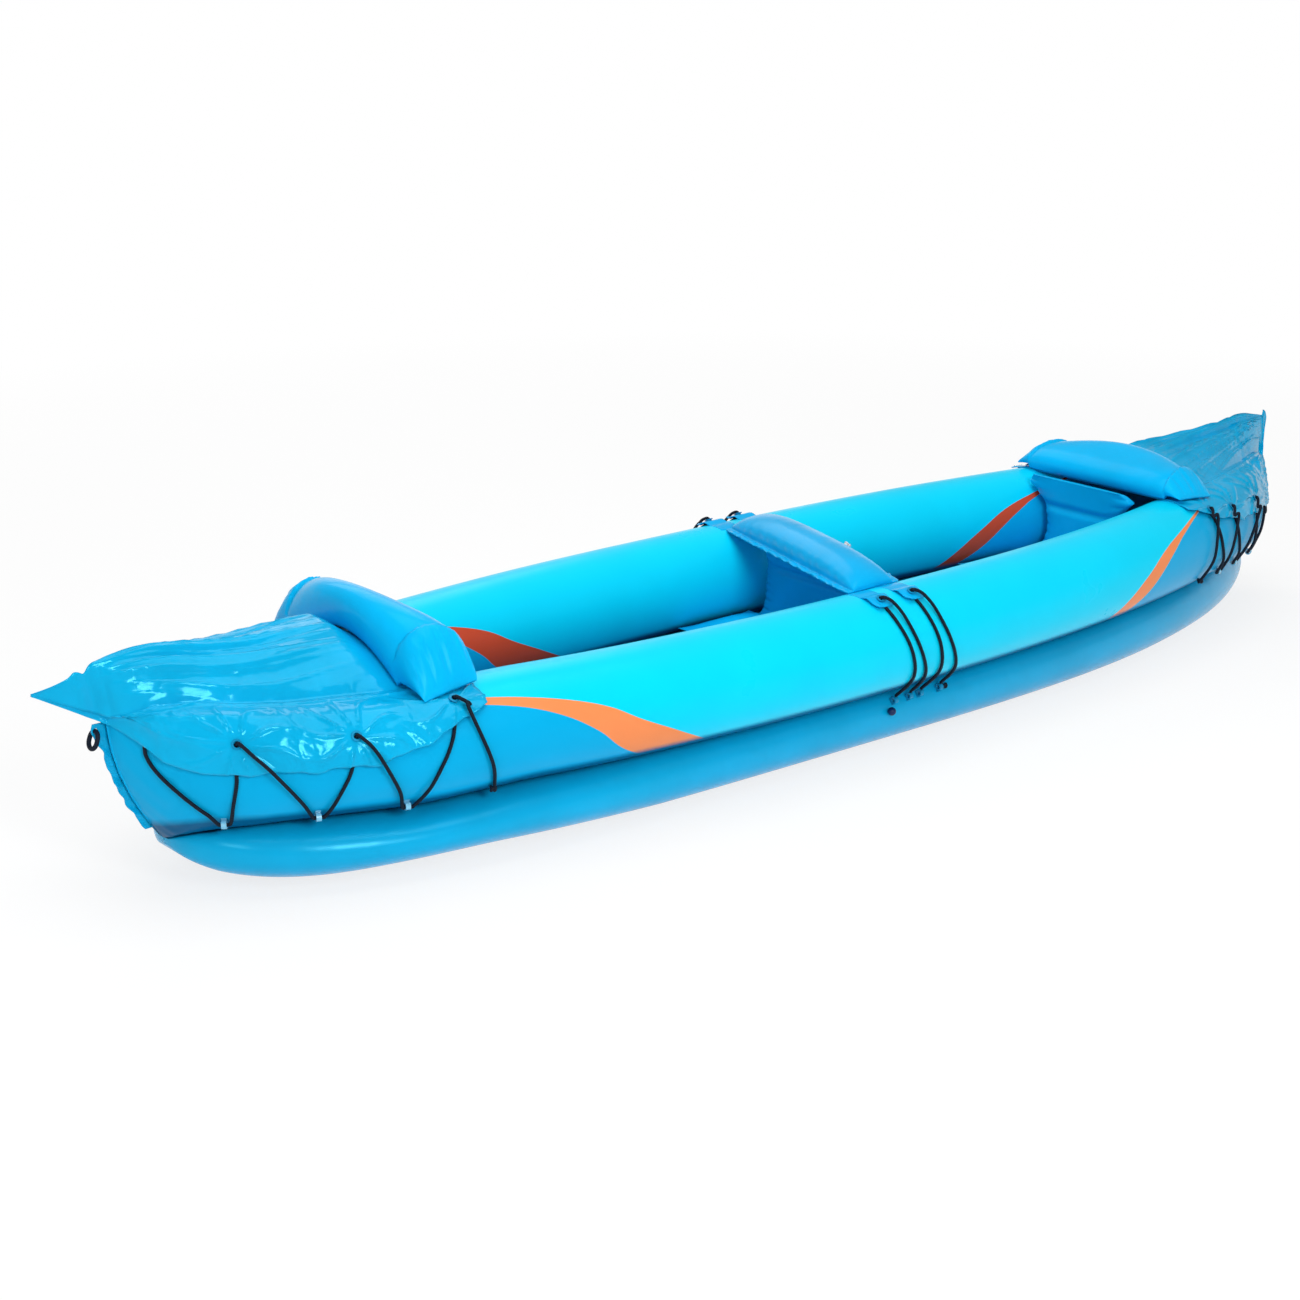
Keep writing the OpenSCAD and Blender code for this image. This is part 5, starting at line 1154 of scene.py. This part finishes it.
def tie_keys(x_hole, x_under, x_over):
    """Key points of a tie: up the tube, out of the eyelet and down beside itself to the next loop."""
    lift = float(flap_off(flap_hole_angle))
    above = np.array([0, 0.003, cord_radius + 0.006])
    return np.array([
        loop_hole(x_under, tie_angle) + above,
        on_skin(mix(x_under, x_hole, 0.2), -32, cord_rest + 0.001),
        on_skin(mix(x_under, x_hole, 0.5), 0, cord_rest),
        on_skin(mix(x_under, x_hole, 0.85), 32, cord_rest),
        on_skin(x_hole, flap_hole_angle - 9, cord_rest),
        on_skin(x_hole, flap_hole_angle - 0.5, lift - 0.003),
        on_skin(x_hole, flap_hole_angle, lift + over_flap - 0.001),
        on_skin(mix(x_over, x_hole, 0.94), flap_hole_angle - 4, lift + over_flap + 0.0014),
        on_skin(mix(x_over, x_hole, 0.86), flap_hole_angle - 11, lift + over_flap),
        on_skin(mix(x_over, x_hole, 0.75), 38, cord_rest + 0.006),
        on_skin(mix(x_over, x_hole, 0.5), 4, cord_rest),
        on_skin(mix(x_over, x_hole, 0.2), -32, cord_rest + 0.001),
        loop_hole(x_over, tie_angle) + above,
    ])


for label, under, over in (("fore", *tie_loops[:2]), ("aft", *tie_loops[2:])):
    for side, turn in (("port", 1), ("starboard", -1)):
        path = kept_off_tube(spline(tie_keys(flap_places[side, label], under, over), path_steps))
        tie = put_cord(f"thwart_{side}_{label}_tie", path * (1, turn, 1), "hull")
        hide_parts(f"thwart_{side}_ties")
ball_plastic = film_material("ball_plastic", ball_navy, 0.15, cloud=0.1, bump=0.00005, glint=plain_glint)
dress(ball_plastic, "tie_ball_stops")
tie_end = knot_place(tie_loops[3] - tie_tail, tie_angle)
put_knots("tie_end_knots", [tie_end * (1, side, 1) for side in (1, -1)], "tie_knots")

# Seats: each is an inflated cushion with welded channels along the hull and a backrest that folds on the weld
# at its rear edge. Their sides pull in between the corners.
cushion_length, cushion_height, cushion_rim, channel_depth = 0.2, 0.066, 0.033, 0.22
front_seat_back, rear_seat_back = -0.115, -0.925
backrest_thickness, seat_margin, cushion_cells = 0.062, 0.012, 60
backrest_rows, backrest_cols = 60, 96
# Hollow in a cushion for the open plug of its valve: its depth, how far it lies from the valve, its spread
plug_dip, plug_fore, plug_beside, plug_spread = 0.0014, 0.011, 0.016, 0.016


def tube_inside(x, z):
    """Half the clear width between the tubes at a height."""
    rise = np.clip((z - tube_z(x)) / tube_b(x), -1, 1)
    return tube_y(x) - tube_a(x) * np.sqrt(1 - rise * rise)


def cushion_base(x):
    """Height of the floor under a seat, with a small gap."""
    return float(edge_mid(x) + edge_half(x)) + seat_gap


def cushion_half(x):
    """Half width of a cushion: the clear width between the tubes at its middle, less a margin."""
    return float(tube_inside(x, cushion_base(x) + cushion_height * 0.5)) - seat_margin


def bulge(s):
    """Rounded plateau: one less s to the power 2.5, all to the power 0.8."""
    return np.maximum(0, 1 - np.abs(s) ** 2.5) ** 0.8


def cushion_valve(back):
    """Place of a cushion's valve, on the slope of its front edge to port."""
    x = back + cushion_length * 0.86
    return np.array([x, cushion_half(back) * 0.45, cushion_base(back) + cushion_height * 0.62])


def cushion_surface(back):
    """Two grids that share their rim: the top is crowned by a product of two bulges and dips at the welded
    channels and where the open valve's plug lies. The underside is flat, and both draw in between the
    corners."""
    front = back + cushion_length
    base = cushion_base(back)
    s = np.sin(np.linspace(-np.pi / 2, np.pi / 2, cushion_cells))[:, None]
    t = np.sin(np.linspace(-np.pi / 2, np.pi / 2, cushion_cells + 20))[None, :]
    pull = 1 - 0.05 * (1 - t * t) * np.maximum(0, s) ** 4
    draw = 1 - 0.06 * (1 - s * s) * np.abs(t) ** 4
    x = mix(back, front, 0.5 + 0.5 * s * pull)
    y = t * mix(cushion_half(back), cushion_half(front), 0.5 + 0.5 * s) * draw
    puff = bulge(s) * bulge(t)
    weld = np.abs(np.sin(np.pi / 2 * 3 * (t + 1))) ** 0.7
    wrinkle = 0.03 * np.sin(70 * s + 8 * t) * np.exp(-(((puff - 0.25) / 0.2) ** 2))
    top = cushion_rim + (cushion_height - cushion_rim) * puff * (1 - channel_depth * (1 - weld) + wrinkle)
    valve = cushion_valve(back)
    fore = (x - valve[0] - plug_fore) / plug_spread
    beside = (y - valve[1] - plug_beside) / plug_spread
    top = top - plug_dip * np.exp(-(fore**2) - beside**2)
    low = cushion_rim * (1 - ease(puff * 3))
    return as_points(x, y, base + top), as_points(x, y, base + low)


def put_pillow(name, top, low, material, body, slot):
    """Closed piece of two grids that share their rim."""
    rows, cols = top.shape[:2]
    numbers = np.arange(rows * cols).reshape(rows, cols)
    under = numbers + rows * cols
    under[0], under[-1], under[:, 0], under[:, -1] = numbers[0], numbers[-1], numbers[:, 0], numbers[:, -1]
    quads = grid_quads(rows, cols, False)
    faces = np.concatenate([quads, under.ravel()[quads][:, ::-1]])
    points = np.concatenate([top.reshape(-1, 3), low.reshape(-1, 3)])
    used, again = np.unique(faces, return_inverse=True)
    return put_mesh(name, points[used], again.reshape(faces.shape), material, body)


for label, back in (("front", front_seat_back), ("rear", rear_seat_back)):
    cushion = put_pillow(f"{label}_cushion_skin", *cushion_surface(back), pad_film, "hull", "deck_film")
    drill(cushion, [(cushion_valve(back), (0.75, 0, 0.66))], stem_well, stem_well_depth)
    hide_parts(f"{label}_seat_cushion")


def backrest_surface(back, top, most):
    """Level sections from top to foot: a rounded oblong that narrows to the clear width between the tubes,
    thin at the welds and full between, with a level channel pressed into the front and puckered ends."""
    s = np.sin(np.linspace(np.pi / 2, -np.pi / 2, backrest_rows))[:, None]
    z = mix(cushion_base(back) + cushion_rim, top, 0.5 + 0.5 * s)
    clear = np.minimum(tube_inside(back, z), tube_inside(back - backrest_thickness, z)) - seat_margin
    half = np.minimum(clear, most) * (1 - 0.16 * np.maximum(0, (s - 0.55) / 0.45) ** 3)
    thick = backrest_thickness * mix(0.08, 1, np.maximum(0, 1 - np.abs(s) ** 3.2) ** 0.5)
    face = back - 0.0005 - 0.004 * (1 - s * s)
    t = np.linspace(0, 2 * np.pi, backrest_cols, endpoint=False)[None, :]
    c, d = np.cos(t), np.sin(t)
    across = np.sign(c) * np.abs(c) ** 0.55
    weld = np.exp(-(((s - 0.3) / 0.08) ** 2)) * (d > 0)
    pucker = ease((np.abs(across) - 0.72) / 0.25) * ridge(4.5 * s + 0.2 * np.sin(3 * s)) ** 2
    depth = np.sign(d) * np.abs(d) ** 0.6 * (1 - 0.3 * weld - 0.25 * pucker)
    return as_points(face - thick / 2 + thick / 2 * depth, half * across, z)


for label, back, top, most in (("front", front_seat_back, 0.328, 0.17), ("rear", rear_seat_back, 0.35, 0.15)):
    sections = backrest_surface(back, top, most)[::-1]
    rest = put_tube(f"{label}_backrest_skin", sections, pad_film, f"{label}_backrest")
    valve_z = mix(cushion_base(back) + cushion_rim, top, 0.5)
    valve_at = np.array([back - 0.0045 - backrest_thickness, 0.03, valve_z])
    drill(rest, [(valve_at, (-1, 0, 0))], stem_well, stem_well_depth)
    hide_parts(f"{label}_backrest")

# Valves: moulded grey plastic, welded into the film. The chambers have wide bases with an inner flap and a
# hinged plug cap, and the rolls, pads and seats have small stems with a plug on a strap.
valve_grey = (0.62, 0.64, 0.66)
valve_plastic = film_material("valve_plastic", valve_grey, 0.3, cloud=0.1, bump=0.0001, glint=plain_glint)
dress(valve_plastic, "valve_flaps", "small_valve_stems")
for place in ("port", "starboard", "floor"):
    dress(valve_plastic, f"{place}_valve_base", f"{place}_valve_cap")
for place in ("front_backrest", "rear_backrest"):
    dress(valve_plastic, f"{place}_valve_stem", f"{place}_valve_plug")
for place in ("bow_roll", "stern_roll", "thwart", "front_seat", "rear_seat"):
    dress(valve_plastic, f"{place}_valve_plug")

# Studio: a wide pale floor whose far edges rise as a backdrop, under four square soft lamps and an even sky.
# It shows white but for the shadow, and the camera looks down at the port bow.
floor_pale, floor_reach, rim_reach, rim_height = (0.97, 0.97, 0.97, 1), 60, 61, 14
shadow_near, shadow_far, shadow_white, sky_level = 1.8, 4.5, 0.8, 0.37
photo_sensor, photo_lens = 36, 66.78
photo_place, photo_target = (3.21675, 3.45998, 1.65623), (0.3261, 0, 0.2133)
floor_paint, tree, shader = new_material("floor_paint")
wire(tree, shader, {"Base Color": floor_pale, "Roughness": 0.9, "Specular IOR Level": 0.1})
seen = add_node(tree, "ShaderNodeLightPath").outputs
rays = calc(tree, "MAXIMUM", seen["Is Camera Ray"], seen["Is Glossy Ray"])
rays = calc(tree, "MAXIMUM", rays, seen["Is Transmission Ray"])
place = add_node(tree, "ShaderNodeTexCoord").outputs["Object"]
away = add_node(tree, "ShaderNodeVectorMath", {0: place}, operation="LENGTH").outputs["Value"]
fade = {"Value": away, "From Min": shadow_near, "From Max": shadow_far, "To Min": shadow_white}
white = calc(tree, "MULTIPLY", rays, add_node(tree, "ShaderNodeMapRange", fade).outputs["Result"])
glow = add_node(tree, "ShaderNodeEmission", {"Strength": 1}).outputs["Emission"]
blend = add_node(tree, "ShaderNodeMixShader", {0: white, 1: shader.outputs["BSDF"], 2: glow})
wire(tree, tree.nodes["Material Output"], {"Surface": blend.outputs["Shader"]})
ground = bpy.data.meshes.new("studio_floor")
corners = np.array([(-1, -1), (1, -1), (1, 1), (-1, 1)])
level = np.concatenate([corners * floor_reach, np.zeros((4, 1))], axis=1)
raised = np.concatenate([corners * rim_reach, np.full((4, 1), rim_height)], axis=1)
sides = [(i, i + 4, (i + 1) % 4 + 4, (i + 1) % 4) for i in range(4)]
ground.from_pydata(np.concatenate([level, raised]).tolist(), [], [(0, 1, 2, 3)] + sides)
ground.materials.append(floor_paint)
floor = bpy.data.objects.new("studio_floor", ground)
bpy.context.collection.objects.link(floor)

world = bpy.data.worlds.new("studio")
world.use_nodes = True
sky = world.node_tree
wire(sky, sky.nodes["Background"], {"Color": (1, 1, 1, 1), "Strength": sky_level})
bpy.context.scene.world = world


def aim(holder, place, target):
    """Sets a lamp or camera at a place, turned to face a target."""
    holder.location = place
    turn = Vector(target) - Vector(place)
    holder.rotation_euler = turn.to_track_quat("-Z", "Y").to_euler()
    bpy.context.collection.objects.link(holder)


def put_lamp(name, place, target, size, power):
    """Square soft lamp at a place, turned to face a target."""
    lamp = bpy.data.lights.new(name, "AREA")
    lamp.size = size
    lamp.energy = power
    aim(bpy.data.objects.new(name, lamp), place, target)


put_lamp("overhead_lamp", (0.5, 0.6, 4.2), (0.2, 0, 0.2), 3.6, 98)
put_lamp("port_lamp", (1.6, 4.6, 2.6), (0.2, 0, 0.2), 1.3, 104)
put_lamp("bow_lamp", (4.4, 2.2, 2.4), (0.8, 0, 0.3), 1.0, 22)
put_lamp("back_lamp", (-1.0, -3.4, 3.4), (0, 0, 0.3), 3.0, 46)

camera_data = bpy.data.cameras.new("photo_camera")
camera_data.sensor_width = photo_sensor
camera_data.lens = photo_lens
camera = bpy.data.objects.new("photo_camera", camera_data)
aim(camera, photo_place, photo_target)
bpy.context.scene.camera = camera
bpy.context.scene.view_settings.view_transform = "Standard"
